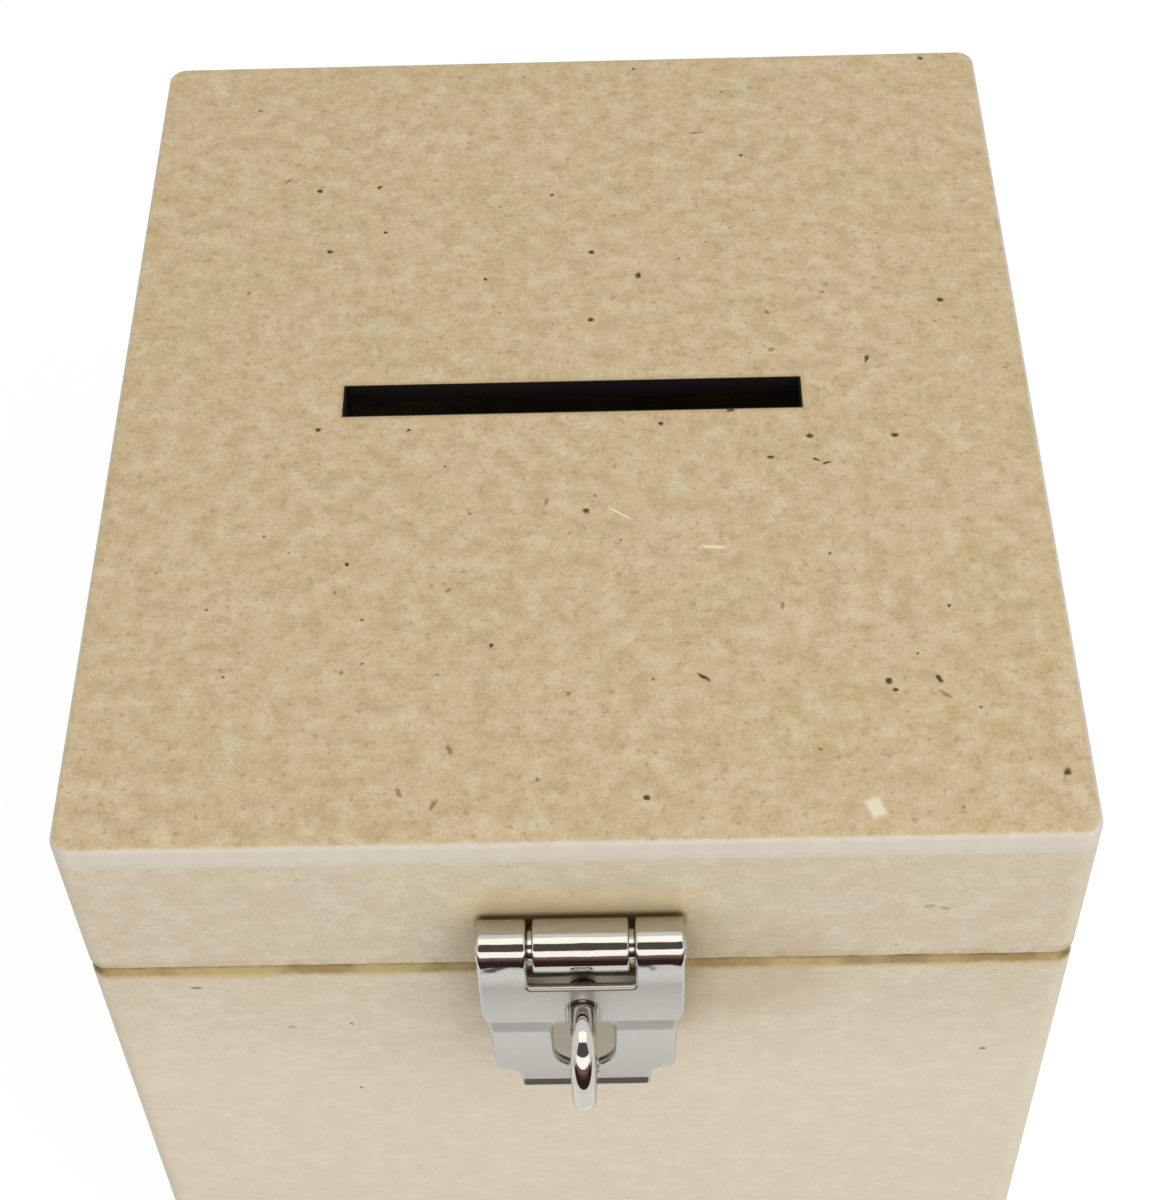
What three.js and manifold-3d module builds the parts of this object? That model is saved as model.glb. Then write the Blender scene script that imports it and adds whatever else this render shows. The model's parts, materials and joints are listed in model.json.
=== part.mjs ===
// Small fibreboard ballot box with a hinged lid, a chromed folding hasp and a padlock eye.
// Millimetres, +Z up, front towards -Y, origin at the centre of the underside.
import * as THREE from "three";
import { mergeVertices } from "three/addons/utils/BufferGeometryUtils.js";
import Module from "manifold-3d";

const wasm = await Module();
wasm.setup();

// Carcass of glued fibreboard
const boxWidth = 120;
const boxDepth = 140;
const boxHeight = 120;
const lidHeight = 26;
const wallThickness = 6;
const topThickness = 3;
const bottomThickness = 3;
const partingGap = 0.3;
const cornerRadius = 2.5;
const rimChamfer = 0.8;
const boardArris = 0.5;
const slotLength = 60;
const slotWidth = 5.4;

// Folding hasp on the front
const haspWidth = 24.4;
const haspOffset = 0.3;
const haspSheet = 1.1;
const haspPinDiameter = 4;
const haspMiddleKnuckle = 11.4;
const haspKnuckleGap = 0.6;
const haspLeafWidth = 20;
const haspLeafHeight = 5;
const haspLeafScrewInset = 3;
const flapTaper = 0.6;
const flapLowerInset = 0.5;
const flapNotchDrop = 3.9;
const flapJoggleDrop = 11.2;
const flapJoggleHeight = 1.9;
const flapJoggleDepth = 1;
const flapWindowWidth = 7.4;
const flapWindowHeight = 9.8;
const flapFoot = 2;
const flapLipDrop = 1.1;
const flapLipFlare = 27;
const flapScallopRadius = 2.35;
const flapScallopLand = 0.7;
const flapToeHeight = 1;

// Padlock eye and its plate under the hasp
const staplePlateWidth = 19;
const staplePlateHeight = 21.5;
const stapleSheet = 1.1;
const stapleScrewSpacing = 13;
const stapleHoleEdge = 0.85;
const eyeWireDiameter = 3;
const eyeOuterDiameter = 13.4;
const eyeReach = 9.5;
const eyeStretch = 2.3;
const eyeLegGap = 0.6;
const eyeBendRadius = 2.2;

// Pair of butt hinges at the back
const hingeInset = 28;
const hingeWidth = 22;
const hingeSheet = 0.9;
const hingePinDiameter = 1.8;
const hingeLeafHeight = 9;
const hingeMiddleKnuckle = 8;
const hingeKnuckleGap = 0.4;
const hingeScrewInset = 4.5;
const hingeScrewEdge = 3.4;

// Screws, all of one size
const screwDiameter = 1.8;
const screwLength = 4.5;
const screwHeadDiameter = 3.6;
const screwHeadHeight = 0.8;
const screwHeadEdge = 0.3;
const screwRecessWidth = 0.5;
const screwRecessDepth = 0.45;
const screwRecessMargin = 0.6;

// Clearances
const pinClearance = 0.1;
const pinProud = 0.3;
const barrelStandoff = 0.15;
const leafEdgeMargin = 0.2;
const knuckleSweepGap = 0.4;
const eyeSideClearance = 0.3;
const eyeSweepClearance = 0.45;
const eyeHoleClearance = 0.15;
const screwHoleClearance = 0.25;
const pilotClearance = 0.15;
const pilotExtraDepth = 0.5;
const screwSeatGap = 0.05;
const cutOverrun = 1;
const weldDistance = 1e-4;

// Facets of round forms
const cornerSteps = 6;
const barrelSteps = 14;
const holeSteps = 7;
const eyeSteps = 40;
const eyeSideSteps = 6;
const screwSides = 14;
const screwDomeSteps = 3;
const pinSides = 24;

// Levels and planes that several pieces share
const frontY = -boxDepth / 2;
const backY = boxDepth / 2;
const lidBottom = boxHeight - lidHeight;
const bodyTop = lidBottom - partingGap;
const railTop = boxHeight - topThickness;

const haspBore = haspPinDiameter / 2 + pinClearance;
const haspBarrel = haspBore + haspSheet;
const haspReach = haspBarrel + barrelStandoff;
const haspPlateTop = -haspBarrel - knuckleSweepGap;
const haspPlateBottom = haspPlateTop - haspLeafHeight;
const haspAxisZ = lidBottom + rimChamfer + leafEdgeMargin - haspPlateBottom;
const haspScrewX = haspLeafWidth / 2 - haspLeafScrewInset;
const haspScrewZ = haspAxisZ + (haspPlateTop + haspPlateBottom) / 2;

const eyeRadius = (eyeOuterDiameter - eyeWireDiameter) / 2;
const eyeLeg = (eyeWireDiameter + eyeLegGap) / 2;
const stapleHoleHalf = eyeLeg + eyeWireDiameter / 2 + eyeHoleClearance;
const staplePlateTop = bodyTop - rimChamfer - leafEdgeMargin;
const eyeZ = staplePlateTop - stapleHoleEdge - stapleHoleHalf;

const hingeBore = hingePinDiameter / 2 + pinClearance;
const hingeBarrel = hingeBore + hingeSheet;
const hingeReach = hingeBarrel + barrelStandoff;
const hingeAxisY = backY + hingeReach;
const hingeAxisZ = bodyTop + partingGap / 2;
const hingePlateStart = hingeBarrel + knuckleSweepGap;
const hingeScrewX = hingeWidth / 2 - hingeScrewInset;
const hingeScrewRise = hingeLeafHeight - hingeScrewEdge;

const screwHole = screwDiameter / 2 + screwHoleClearance;
const pilotHole = screwDiameter / 2 + pilotClearance;

const board = new THREE.MeshStandardMaterial({ color: 0xc8b692, roughness: 0.85, metalness: 0 });
const boardTop = new THREE.MeshStandardMaterial({ color: 0xc4b18c, roughness: 0.85, metalness: 0 });
const chrome = new THREE.MeshStandardMaterial({ color: 0xd8dadc, roughness: 0.12, metalness: 1 });
const zincSteel = new THREE.MeshStandardMaterial({ color: 0xb9bcc0, roughness: 0.3, metalness: 1 });

const unitX = new THREE.Vector3(1, 0, 0);
const unitY = new THREE.Vector3(0, 1, 0);
const unitZ = new THREE.Vector3(0, 0, 1);

// Turns a closed geometry into a solid that can be joined and cut
function toSolid(geometry) {
  const bare = new THREE.BufferGeometry();
  const loose = geometry.index ? geometry.toNonIndexed() : geometry;
  bare.setAttribute("position", loose.getAttribute("position"));
  const welded = mergeVertices(bare, weldDistance);
  const triangles = [];
  for (let i = 0; i < welded.index.count; i += 3) {
    const corners = [0, 1, 2].map((k) => welded.index.getX(i + k));
    if (new Set(corners).size === 3) {
      triangles.push(...corners);
    }
  }
  const vertProperties = new Float32Array(welded.getAttribute("position").array);
  const triVerts = new Uint32Array(triangles);
  return new wasm.Manifold(new wasm.Mesh({ numProp: 3, vertProperties, triVerts }));
}

function toGeometry(solid) {
  const { vertProperties, triVerts } = solid.getMesh();
  const geometry = new THREE.BufferGeometry();
  geometry.setAttribute("position", new THREE.BufferAttribute(vertProperties, 3));
  geometry.setIndex(new THREE.BufferAttribute(triVerts, 1));
  geometry.computeVertexNormals();
  return geometry;
}

function join(first, ...others) {
  return others.reduce((whole, other) => whole.add(other), first);
}

function cut(first, ...others) {
  return others.reduce((whole, other) => whole.subtract(other), first);
}

function extrude(shape, length, curveSegments) {
  return new THREE.ExtrudeGeometry(shape, { depth: length, bevelEnabled: false, curveSegments });
}

// Prism of a shape drawn with Y to its right and Z up, from one x to another
function alongX(shape, low, high, curveSegments) {
  const turn = new THREE.Matrix4().makeBasis(unitY, unitZ, unitX);
  const geometry = extrude(shape, high - low, curveSegments).applyMatrix4(turn);
  return toSolid(geometry.translate(low, 0, 0));
}

// Prism of a shape drawn with X to its right and Z up, from one y to another
function alongY(shape, low, high, curveSegments) {
  const turn = new THREE.Matrix4().makeBasis(unitX, unitZ, unitY.clone().negate());
  const geometry = extrude(shape, high - low, curveSegments).applyMatrix4(turn);
  return toSolid(geometry.translate(0, high, 0));
}

function block(xLow, xHigh, yLow, yHigh, zLow, zHigh) {
  const geometry = new THREE.BoxGeometry(xHigh - xLow, yHigh - yLow, zHigh - zLow);
  return toSolid(geometry.translate((xLow + xHigh) / 2, (yLow + yHigh) / 2, (zLow + zHigh) / 2));
}

function circle(x, y, radius) {
  return new THREE.Shape().absarc(x, y, radius, 0, 2 * Math.PI, false);
}

// Upright slot with half-round ends
function stadium(x, y, halfWidth, halfHeight) {
  const straight = halfHeight - halfWidth;
  const shape = new THREE.Shape();
  shape.absarc(x, y + straight, halfWidth, 0, Math.PI, false);
  shape.absarc(x, y - straight, halfWidth, Math.PI, 2 * Math.PI, false);
  return shape;
}

// Outline of the box seen from above
function footprint() {
  const x = boxWidth / 2 - cornerRadius;
  const y = boxDepth / 2 - cornerRadius;
  const quarter = Math.PI / 2;
  const shape = new THREE.Shape();
  shape.absarc(x, y, cornerRadius, 0, quarter, false);
  shape.absarc(-x, y, cornerRadius, quarter, 2 * quarter, false);
  shape.absarc(-x, -y, cornerRadius, 2 * quarter, 3 * quarter, false);
  shape.absarc(x, -y, cornerRadius, 3 * quarter, 4 * quarter, false);
  return shape;
}

// Block of the box's outline with both rims chamfered
function outerForm(low, high, chamfer) {
  const geometry = new THREE.ExtrudeGeometry(footprint(), {
    depth: high - low - 2 * chamfer,
    bevelEnabled: true,
    bevelThickness: chamfer,
    bevelSize: chamfer,
    bevelOffset: -chamfer,
    bevelSegments: 1,
    curveSegments: cornerSteps,
  });
  return toSolid(geometry.translate(0, 0, low + chamfer));
}

// Four walls of a ring of boards: front and back run across, the sides fit between them
function ringOfWalls(form, low, high) {
  const outX = boxWidth / 2 + cutOverrun;
  const outY = boxDepth / 2 + cutOverrun;
  const inX = boxWidth / 2 - wallThickness;
  const inY = boxDepth / 2 - wallThickness;
  return {
    front: form.intersect(block(-outX, outX, -outY, -inY, low, high)),
    back: form.intersect(block(-outX, outX, inY, outY, low, high)),
    left: form.intersect(block(-outX, -inX, -inY, inY, low, high)),
    right: form.intersect(block(inX, outX, -inY, inY, low, high)),
  };
}

// Blind holes that the screws bite into, one for each x and z
function pilotHoles(spots, sheet, face, outward) {
  const depth = screwLength - sheet - screwSeatGap + pilotExtraDepth;
  const ends = [face + outward * cutOverrun, face - outward * depth].sort((a, b) => a - b);
  return spots.map(([x, z]) => alongY(circle(x, z, pilotHole), ends[0], ends[1], holeSteps));
}

function sheetHoles(spots, yLow, yHigh) {
  return spots.map(([x, z]) => alongY(circle(x, z, screwHole), yLow, yHigh, holeSteps));
}

function knuckle(low, high, barrel, bore) {
  const ring = circle(0, 0, barrel);
  ring.holes.push(new THREE.Path().absarc(0, 0, bore, 0, 2 * Math.PI, true));
  return alongX(ring, low, high, barrelSteps);
}

// Closed outline of a bent sheet: a line of bends, and the same line set off to its right
function sheetOutline(line, thickness) {
  const points = line.map(([x, y]) => new THREE.Vector2(x, y));
  const normals = points.slice(1).map((point, i) => {
    const along = point.clone().sub(points[i]).normalize();
    return new THREE.Vector2(along.y, -along.x);
  });
  const offset = points.map((point, i) => {
    const before = normals[Math.max(i - 1, 0)];
    const after = normals[Math.min(i, normals.length - 1)];
    const mitre = before.clone().add(after);
    const reach = (2 * thickness) / mitre.lengthSq();
    return point.clone().addScaledVector(mitre, reach);
  });
  return new THREE.Shape([...points, ...offset.reverse()]);
}

// Curve in the plane of Y and Z, taken from a flat path
class SideCurve extends THREE.Curve {
  constructor(path) {
    super();
    this.path = path;
  }

  getPoint(t, target = new THREE.Vector3()) {
    const point = this.path.getPoint(t);
    return target.set(0, point.x, point.y);
  }
}

const ballotBox = new THREE.Group();
const haspGroup = new THREE.Group();
haspGroup.position.set(haspOffset, frontY - haspReach, haspAxisZ);
const stapleGroup = new THREE.Group();
stapleGroup.position.set(haspOffset, frontY, eyeZ);
ballotBox.add(haspGroup, stapleGroup);

function addPiece(group, name, solid, material) {
  const mesh = new THREE.Mesh(toGeometry(solid), material);
  mesh.name = name;
  group.add(mesh);
  return mesh;
}

// Spots where screws go into the boards
const leftRight = [-1, 1];
const haspScrewSpots = leftRight.map((side) => [haspOffset + side * haspScrewX, haspScrewZ]);
const stapleScrewSpots = leftRight.map((side) => [haspOffset + (side * stapleScrewSpacing) / 2, eyeZ]);
const hingeX = boxWidth / 2 - hingeInset;
const hingePlaces = { left: -hingeX, right: hingeX };

function hingeScrewSpots(rise) {
  const centres = Object.values(hingePlaces);
  return centres.flatMap((x) => leftRight.map((side) => [x + side * hingeScrewX, hingeAxisZ + rise]));
}

// Fibreboard box: bottom board and four walls
const bodyForm = outerForm(-cutOverrun - rimChamfer, bodyTop, rimChamfer);
const bodyWalls = ringOfWalls(bodyForm, bottomThickness, bodyTop + cutOverrun);
const baseForm = outerForm(0, bodyTop, boardArris);
const baseBlock = block(-boxWidth, boxWidth, -boxDepth, boxDepth, -cutOverrun, bottomThickness);
addPiece(ballotBox, "bottom_board", baseForm.intersect(baseBlock), board);
const stapleHoles = pilotHoles(stapleScrewSpots, stapleSheet, frontY, -1);
addPiece(ballotBox, "front_wall", cut(bodyWalls.front, ...stapleHoles), board);
const bodyHingeHoles = pilotHoles(hingeScrewSpots(-hingeScrewRise), hingeSheet, backY, 1);
addPiece(ballotBox, "back_wall", cut(bodyWalls.back, ...bodyHingeHoles), board);
addPiece(ballotBox, "left_wall", bodyWalls.left, board);
addPiece(ballotBox, "right_wall", bodyWalls.right, board);

// Lid: four rails and the slotted top board
const lidForm = outerForm(lidBottom, boxHeight + cutOverrun, rimChamfer);
const lidRails = ringOfWalls(lidForm, lidBottom - cutOverrun, railTop);
const leafHoles = pilotHoles(haspScrewSpots, haspSheet, frontY, -1);
addPiece(ballotBox, "lid_front_rail", cut(lidRails.front, ...leafHoles), board);
const lidHingeHoles = pilotHoles(hingeScrewSpots(hingeScrewRise), hingeSheet, backY, 1);
addPiece(ballotBox, "lid_back_rail", cut(lidRails.back, ...lidHingeHoles), board);
addPiece(ballotBox, "lid_left_rail", lidRails.left, board);
addPiece(ballotBox, "lid_right_rail", lidRails.right, board);
const topForm = outerForm(lidBottom, boxHeight, boardArris);
const topBlock = block(-boxWidth, boxWidth, -boxDepth, boxDepth, railTop, boxHeight + cutOverrun);
const slot = block(
  -slotLength / 2,
  slotLength / 2,
  -slotWidth / 2,
  slotWidth / 2,
  railTop - cutOverrun,
  boxHeight + cutOverrun,
);
addPiece(ballotBox, "lid_top_board", cut(topForm.intersect(topBlock), slot), boardTop);

// Hasp leaf on the lid: the middle knuckle, its neck, and a plate below the flap's knuckles
function haspLeaf() {
  const half = haspMiddleKnuckle / 2;
  const plateFront = haspReach - haspSheet;
  const roll = knuckle(-half, half, haspBarrel, haspBore);
  const neck = block(-half, half, plateFront, haspReach, haspPlateBottom, 0);
  const wide = haspLeafWidth / 2;
  const plate = block(-wide, wide, plateFront, haspReach, haspPlateBottom, haspPlateTop);
  const spots = leftRight.map((side) => [side * haspScrewX, (haspPlateTop + haspPlateBottom) / 2]);
  const holes = sheetHoles(spots, plateFront - cutOverrun, haspReach + cutOverrun);
  return cut(join(roll, neck, plate), ...holes);
}
addPiece(haspGroup, "hasp_lid_leaf", haspLeaf(), chrome);

// Path of the eye round the barrel's axis, which the opening in the flap has to clear
const eyeAhead = eyeReach - haspReach;
const eyeBelow = haspAxisZ - eyeZ;
const eyeSwing = Math.hypot(eyeAhead, eyeBelow);
const eyeTopSwing = Math.hypot(eyeAhead, eyeBelow - eyeStretch);
const sweepInner = eyeTopSwing - eyeOuterDiameter / 2 - eyeSweepClearance;
const sweepOuter = eyeSwing + eyeOuterDiameter / 2 + eyeSweepClearance;
const flapOpeningTop = -Math.sqrt(sweepInner ** 2 - haspBarrel ** 2);
const flapOpeningBottom = -Math.sqrt(sweepOuter ** 2 - (haspBore + flapJoggleDepth) ** 2);
const flapBottom = flapOpeningBottom - flapFoot;

const flapLipOut = flapLipDrop * Math.tan(THREE.MathUtils.degToRad(flapLipFlare));

// Side view of the flap: down from the barrel, out at the joggle, flared at the foot
function flapSide() {
  const lower = haspBore + flapJoggleDepth;
  return sheetOutline(
    [
      [-haspBore, 0],
      [-haspBore, -flapJoggleDrop],
      [-lower, -flapJoggleDrop - flapJoggleHeight],
      [-lower, flapBottom + flapLipDrop],
      [-lower - flapLipOut, flapBottom],
    ],
    haspSheet,
  );
}

// Front view of the flap: tapered sides, and a scalloped foot
function flapFront() {
  const top = haspBarrel + cutOverrun;
  const half = haspWidth / 2;
  const upper = half - flapTaper;
  const lower = upper - flapLowerInset;
  const low = flapBottom - cutOverrun;
  const scallopLow = flapBottom + flapToeHeight;
  const scallopTop = scallopLow + flapScallopRadius;
  const scallopX = lower - flapScallopLand;
  const foot = scallopX - flapScallopRadius;
  const shape = new THREE.Shape();
  shape.moveTo(half, top);
  shape.lineTo(-half, top);
  shape.lineTo(-half, 0);
  shape.lineTo(-upper, -flapJoggleDrop);
  shape.lineTo(-lower, -flapJoggleDrop - flapJoggleHeight);
  shape.lineTo(-lower, scallopTop);
  shape.absarc(-scallopX, scallopLow, flapScallopRadius, Math.PI / 2, 0, true);
  shape.lineTo(-foot, low);
  shape.lineTo(foot, low);
  shape.absarc(scallopX, scallopLow, flapScallopRadius, Math.PI, Math.PI / 2, true);
  shape.lineTo(lower, scallopTop);
  shape.lineTo(lower, -flapJoggleDrop - flapJoggleHeight);
  shape.lineTo(upper, -flapJoggleDrop);
  shape.lineTo(half, 0);
  return shape;
}

// Keyhole in the flap: a window that shows the plate behind, and a slot for the eye's wire
function flapOpening(yLow, yHigh) {
  const slotHalf = eyeWireDiameter / 2 + eyeSideClearance;
  const windowHalf = flapWindowWidth / 2;
  const windowTop = -flapJoggleDrop - leafEdgeMargin;
  const windowArc = windowTop - flapWindowHeight + windowHalf;
  const window = new THREE.Shape();
  window.moveTo(windowHalf, windowTop);
  window.lineTo(-windowHalf, windowTop);
  window.absarc(0, windowArc, windowHalf, Math.PI, 2 * Math.PI, false);
  const middle = (flapOpeningTop + flapOpeningBottom) / 2;
  const wireSlot = stadium(0, middle, slotHalf, (flapOpeningTop - flapOpeningBottom) / 2);
  return join(alongY(window, yLow, yHigh, barrelSteps), alongY(wireSlot, yLow, yHigh, holeSteps));
}

function haspFlap() {
  const half = haspWidth / 2;
  const notch = haspMiddleKnuckle / 2 + haspKnuckleGap;
  const near = -haspBarrel - flapJoggleDepth - flapLipOut - haspSheet - cutOverrun;
  const far = haspReach + cutOverrun;
  const side = alongX(flapSide(), -half, half, 1);
  const sheet = side.intersect(alongY(flapFront(), near, far, barrelSteps));
  const rolls = [
    knuckle(-half, -notch, haspBarrel, haspBore),
    knuckle(notch, half, haspBarrel, haspBore),
  ];
  const bore = alongX(circle(0, 0, haspBore), -haspWidth, haspWidth, barrelSteps);
  const notchBlock = block(-notch, notch, near, far, -flapNotchDrop, haspBarrel + cutOverrun);
  return cut(join(sheet, ...rolls), bore, notchBlock, flapOpening(near, far));
}
addPiece(haspGroup, "hasp_flap", haspFlap(), chrome);

// Pin with chamfered ends along X
function hingePin(diameter, length) {
  const radius = diameter / 2;
  const end = length / 2;
  const profile = [
    [0, -end],
    [radius - pinProud, -end],
    [radius, -end + pinProud],
    [radius, end - pinProud],
    [radius - pinProud, end],
    [0, end],
  ];
  const points = profile.map(([r, y]) => new THREE.Vector2(r, y));
  return toSolid(new THREE.LatheGeometry(points, pinSides).rotateZ(-Math.PI / 2));
}
addPiece(haspGroup, "hasp_pin", hingePin(haspPinDiameter, haspWidth + 2 * pinProud), chrome);

// Staple plate on the box, with a tall hole for the eye's two legs
function staplePlate() {
  const half = staplePlateWidth / 2;
  const top = staplePlateTop - eyeZ;
  const plate = block(-half, half, -stapleSheet, 0, top - staplePlateHeight, top);
  const legHole = stadium(0, 0, eyeWireDiameter / 2 + eyeHoleClearance, stapleHoleHalf);
  const spots = leftRight.map((side) => [(side * stapleScrewSpacing) / 2, 0]);
  const low = -stapleSheet - cutOverrun;
  return cut(plate, alongY(legHole, low, cutOverrun, barrelSteps), ...sheetHoles(spots, low, cutOverrun));
}
addPiece(stapleGroup, "staple_plate", staplePlate(), chrome);

// Eye bent from one wire: out along the upper leg, round the tall ring, and back along the lower leg
function stapleEye() {
  const bendZ = eyeLeg + eyeBendRadius;
  const bendReach = eyeRadius + eyeBendRadius;
  const bendAngle = Math.asin(bendZ / bendReach);
  const bendY = -eyeReach + bendReach * Math.cos(bendAngle);
  const topAngle = Math.asin((bendZ - eyeStretch) / bendReach);
  const topY = -eyeReach + bendReach * Math.cos(topAngle);
  const path = new THREE.Path();
  path.moveTo(0, eyeLeg);
  path.lineTo(topY, eyeLeg);
  path.absarc(topY, bendZ, eyeBendRadius, -Math.PI / 2, -Math.PI + topAngle, true);
  path.absarc(-eyeReach, eyeStretch, eyeRadius, topAngle, Math.PI, false);
  path.absarc(-eyeReach, 0, eyeRadius, Math.PI, 2 * Math.PI - bendAngle, false);
  path.absarc(bendY, -bendZ, eyeBendRadius, Math.PI - bendAngle, Math.PI / 2, true);
  path.lineTo(0, -eyeLeg);
  const geometry = new THREE.ExtrudeGeometry(circle(0, 0, eyeWireDiameter / 2), {
    steps: eyeSteps,
    curveSegments: eyeSideSteps,
    extrudePath: new SideCurve(path),
  });
  return toSolid(geometry);
}
addPiece(stapleGroup, "staple_loop", stapleEye(), chrome);

// Pan-head screw along Z with its seat at z = 0, and a cross recess
function crossScrew() {
  const shank = screwDiameter / 2;
  const head = screwHeadDiameter / 2;
  const dome = new THREE.EllipseCurve(
    0,
    screwHeadEdge,
    head,
    screwHeadHeight - screwHeadEdge,
    0,
    Math.PI / 2,
  );
  const points = [
    new THREE.Vector2(0, -screwLength),
    new THREE.Vector2(shank, -screwLength + screwDiameter),
    new THREE.Vector2(shank, 0),
    new THREE.Vector2(head, 0),
    ...dome.getPoints(screwDomeSteps),
  ];
  const blank = toSolid(new THREE.LatheGeometry(points, screwSides).rotateX(Math.PI / 2));
  const arm = head - screwRecessMargin;
  const half = screwRecessWidth / 2;
  const floor = screwHeadHeight - screwRecessDepth;
  const above = screwHeadHeight + cutOverrun;
  const across = block(-arm, arm, -half, half, floor, above);
  const upright = block(-half, half, -arm, arm, floor, above);
  return cut(blank, across, upright);
}
const screwSolid = crossScrew();

function addScrew(name, material, x, z, face, outward, sheet) {
  const screw = addPiece(ballotBox, name, screwSolid, material);
  screw.position.set(x, face + outward * (sheet + screwSeatGap), z);
  screw.rotation.x = (-outward * Math.PI) / 2;
}

const sideNames = ["left", "right"];
sideNames.forEach((side, i) => {
  addScrew(`hasp_screw_${side}`, chrome, ...haspScrewSpots[i], frontY, -1, haspSheet);
  addScrew(`staple_screw_${side}`, chrome, ...stapleScrewSpots[i], frontY, -1, stapleSheet);
});

// Butt hinge about its own axis: the lid leaf has the middle knuckle, the body leaf the outer two
function hingeLeaf(knuckles, up) {
  const face = -hingeReach;
  const front = face + hingeSheet;
  const wide = hingeWidth / 2;
  const [zLow, zHigh] = [up * hingePlateStart, up * hingeLeafHeight].sort((a, b) => a - b);
  const plate = block(-wide, wide, face, front, zLow, zHigh);
  const rolls = knuckles.map(([low, high]) => knuckle(low, high, hingeBarrel, hingeBore));
  const necks = knuckles.map(([low, high]) =>
    block(low, high, face, front, Math.min(0, zLow), Math.max(0, zHigh)),
  );
  const spots = leftRight.map((side) => [side * hingeScrewX, up * hingeScrewRise]);
  const holes = sheetHoles(spots, face - cutOverrun, front + cutOverrun);
  return cut(join(plate, ...rolls, ...necks), ...holes);
}

const middleHalf = hingeMiddleKnuckle / 2;
const outerStart = middleHalf + hingeKnuckleGap;
const lidLeaf = hingeLeaf([[-middleHalf, middleHalf]], 1);
const bodyLeaf = hingeLeaf(
  [
    [-hingeWidth / 2, -outerStart],
    [outerStart, hingeWidth / 2],
  ],
  -1,
);
const rearPin = hingePin(hingePinDiameter, hingeWidth + 2 * pinProud);

for (const [side, x] of Object.entries(hingePlaces)) {
  const hinge = new THREE.Group();
  hinge.position.set(x, hingeAxisY, hingeAxisZ);
  ballotBox.add(hinge);
  addPiece(hinge, `hinge_${side}_lid_leaf`, lidLeaf, zincSteel);
  addPiece(hinge, `hinge_${side}_body_leaf`, bodyLeaf, zincSteel);
  addPiece(hinge, `hinge_${side}_pin`, rearPin, zincSteel);
  for (const [place, offset] of [["inner", -Math.sign(x)], ["outer", Math.sign(x)]]) {
    const screwX = x + offset * hingeScrewX;
    const [lidZ, bodyZ] = [hingeAxisZ + hingeScrewRise, hingeAxisZ - hingeScrewRise];
    addScrew(`hinge_${side}_lid_screw_${place}`, zincSteel, screwX, lidZ, backY, 1, hingeSheet);
    addScrew(`hinge_${side}_body_screw_${place}`, zincSteel, screwX, bodyZ, backY, 1, hingeSheet);
  }
}

export default ballotBox;
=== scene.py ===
import json
import math

import bmesh
import bpy
import numpy as np
from mathutils import Matrix, Vector, noise
from mathutils.geometry import delaunay_2d_cdt, tessellate_polygon


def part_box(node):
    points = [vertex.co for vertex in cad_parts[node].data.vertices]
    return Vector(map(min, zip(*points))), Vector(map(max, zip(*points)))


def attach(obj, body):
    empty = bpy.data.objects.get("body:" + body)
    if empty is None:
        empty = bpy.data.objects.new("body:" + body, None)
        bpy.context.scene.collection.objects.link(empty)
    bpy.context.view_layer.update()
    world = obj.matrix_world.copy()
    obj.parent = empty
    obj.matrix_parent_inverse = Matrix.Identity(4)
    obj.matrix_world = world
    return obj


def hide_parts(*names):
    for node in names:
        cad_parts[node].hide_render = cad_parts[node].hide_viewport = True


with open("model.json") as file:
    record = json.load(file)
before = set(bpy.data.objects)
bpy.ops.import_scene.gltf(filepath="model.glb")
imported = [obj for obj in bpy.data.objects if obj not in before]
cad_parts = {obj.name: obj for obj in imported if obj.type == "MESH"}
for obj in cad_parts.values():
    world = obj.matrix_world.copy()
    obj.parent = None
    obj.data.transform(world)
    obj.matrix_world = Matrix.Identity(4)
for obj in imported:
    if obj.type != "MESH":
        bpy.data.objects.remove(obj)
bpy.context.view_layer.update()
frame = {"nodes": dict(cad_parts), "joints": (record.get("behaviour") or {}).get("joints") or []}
mm = 0.001
quarter = math.pi / 2
scene = bpy.context.scene
scene.view_settings.view_transform = "Standard"
print("frame loaded:", len(frame["nodes"]), "nodes")


def nodeBox(node):
    # lowest and highest corner of a node, mm
    return [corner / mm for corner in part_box(node)]


# Measures that several pieces share, mm
lidLow, lidHigh = nodeBox("lid_top_board")
lidTop = lidHigh.z
halfWidth, halfDepth = lidHigh.x, lidHigh.y
bodyTop = nodeBox("front_wall")[1].z
lidBottom = nodeBox("lid_front_rail")[0].z
haspAxis = next(Vector(joint["pos_m"]) / mm for joint in frame["joints"] if joint["name"] == "flap_hinge")
boxCorner = 2.5  # the box's rounded uprights
ballotSlot = {"length": 60.0, "width": 5.4, "corner": 0.25, "scorch": 0.9, "char": 0.1,
              "step": 0.5, "waver": 0.05, "waverLength": 0.6}

# Camera at the photograph's angle, for an image of 1150 by 1200
viewpoint = {
    "aim": (0.24, -34.65, 120.2),  # mm, on the lid ahead of the slot
    "distance": 293.3,  # mm
    "rise": 50.81,  # degrees above level
    "turn": 1.55,  # degrees to the right of square on
    "roll": -2.34,  # degrees
    "lens": 72.0,
}


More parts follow.
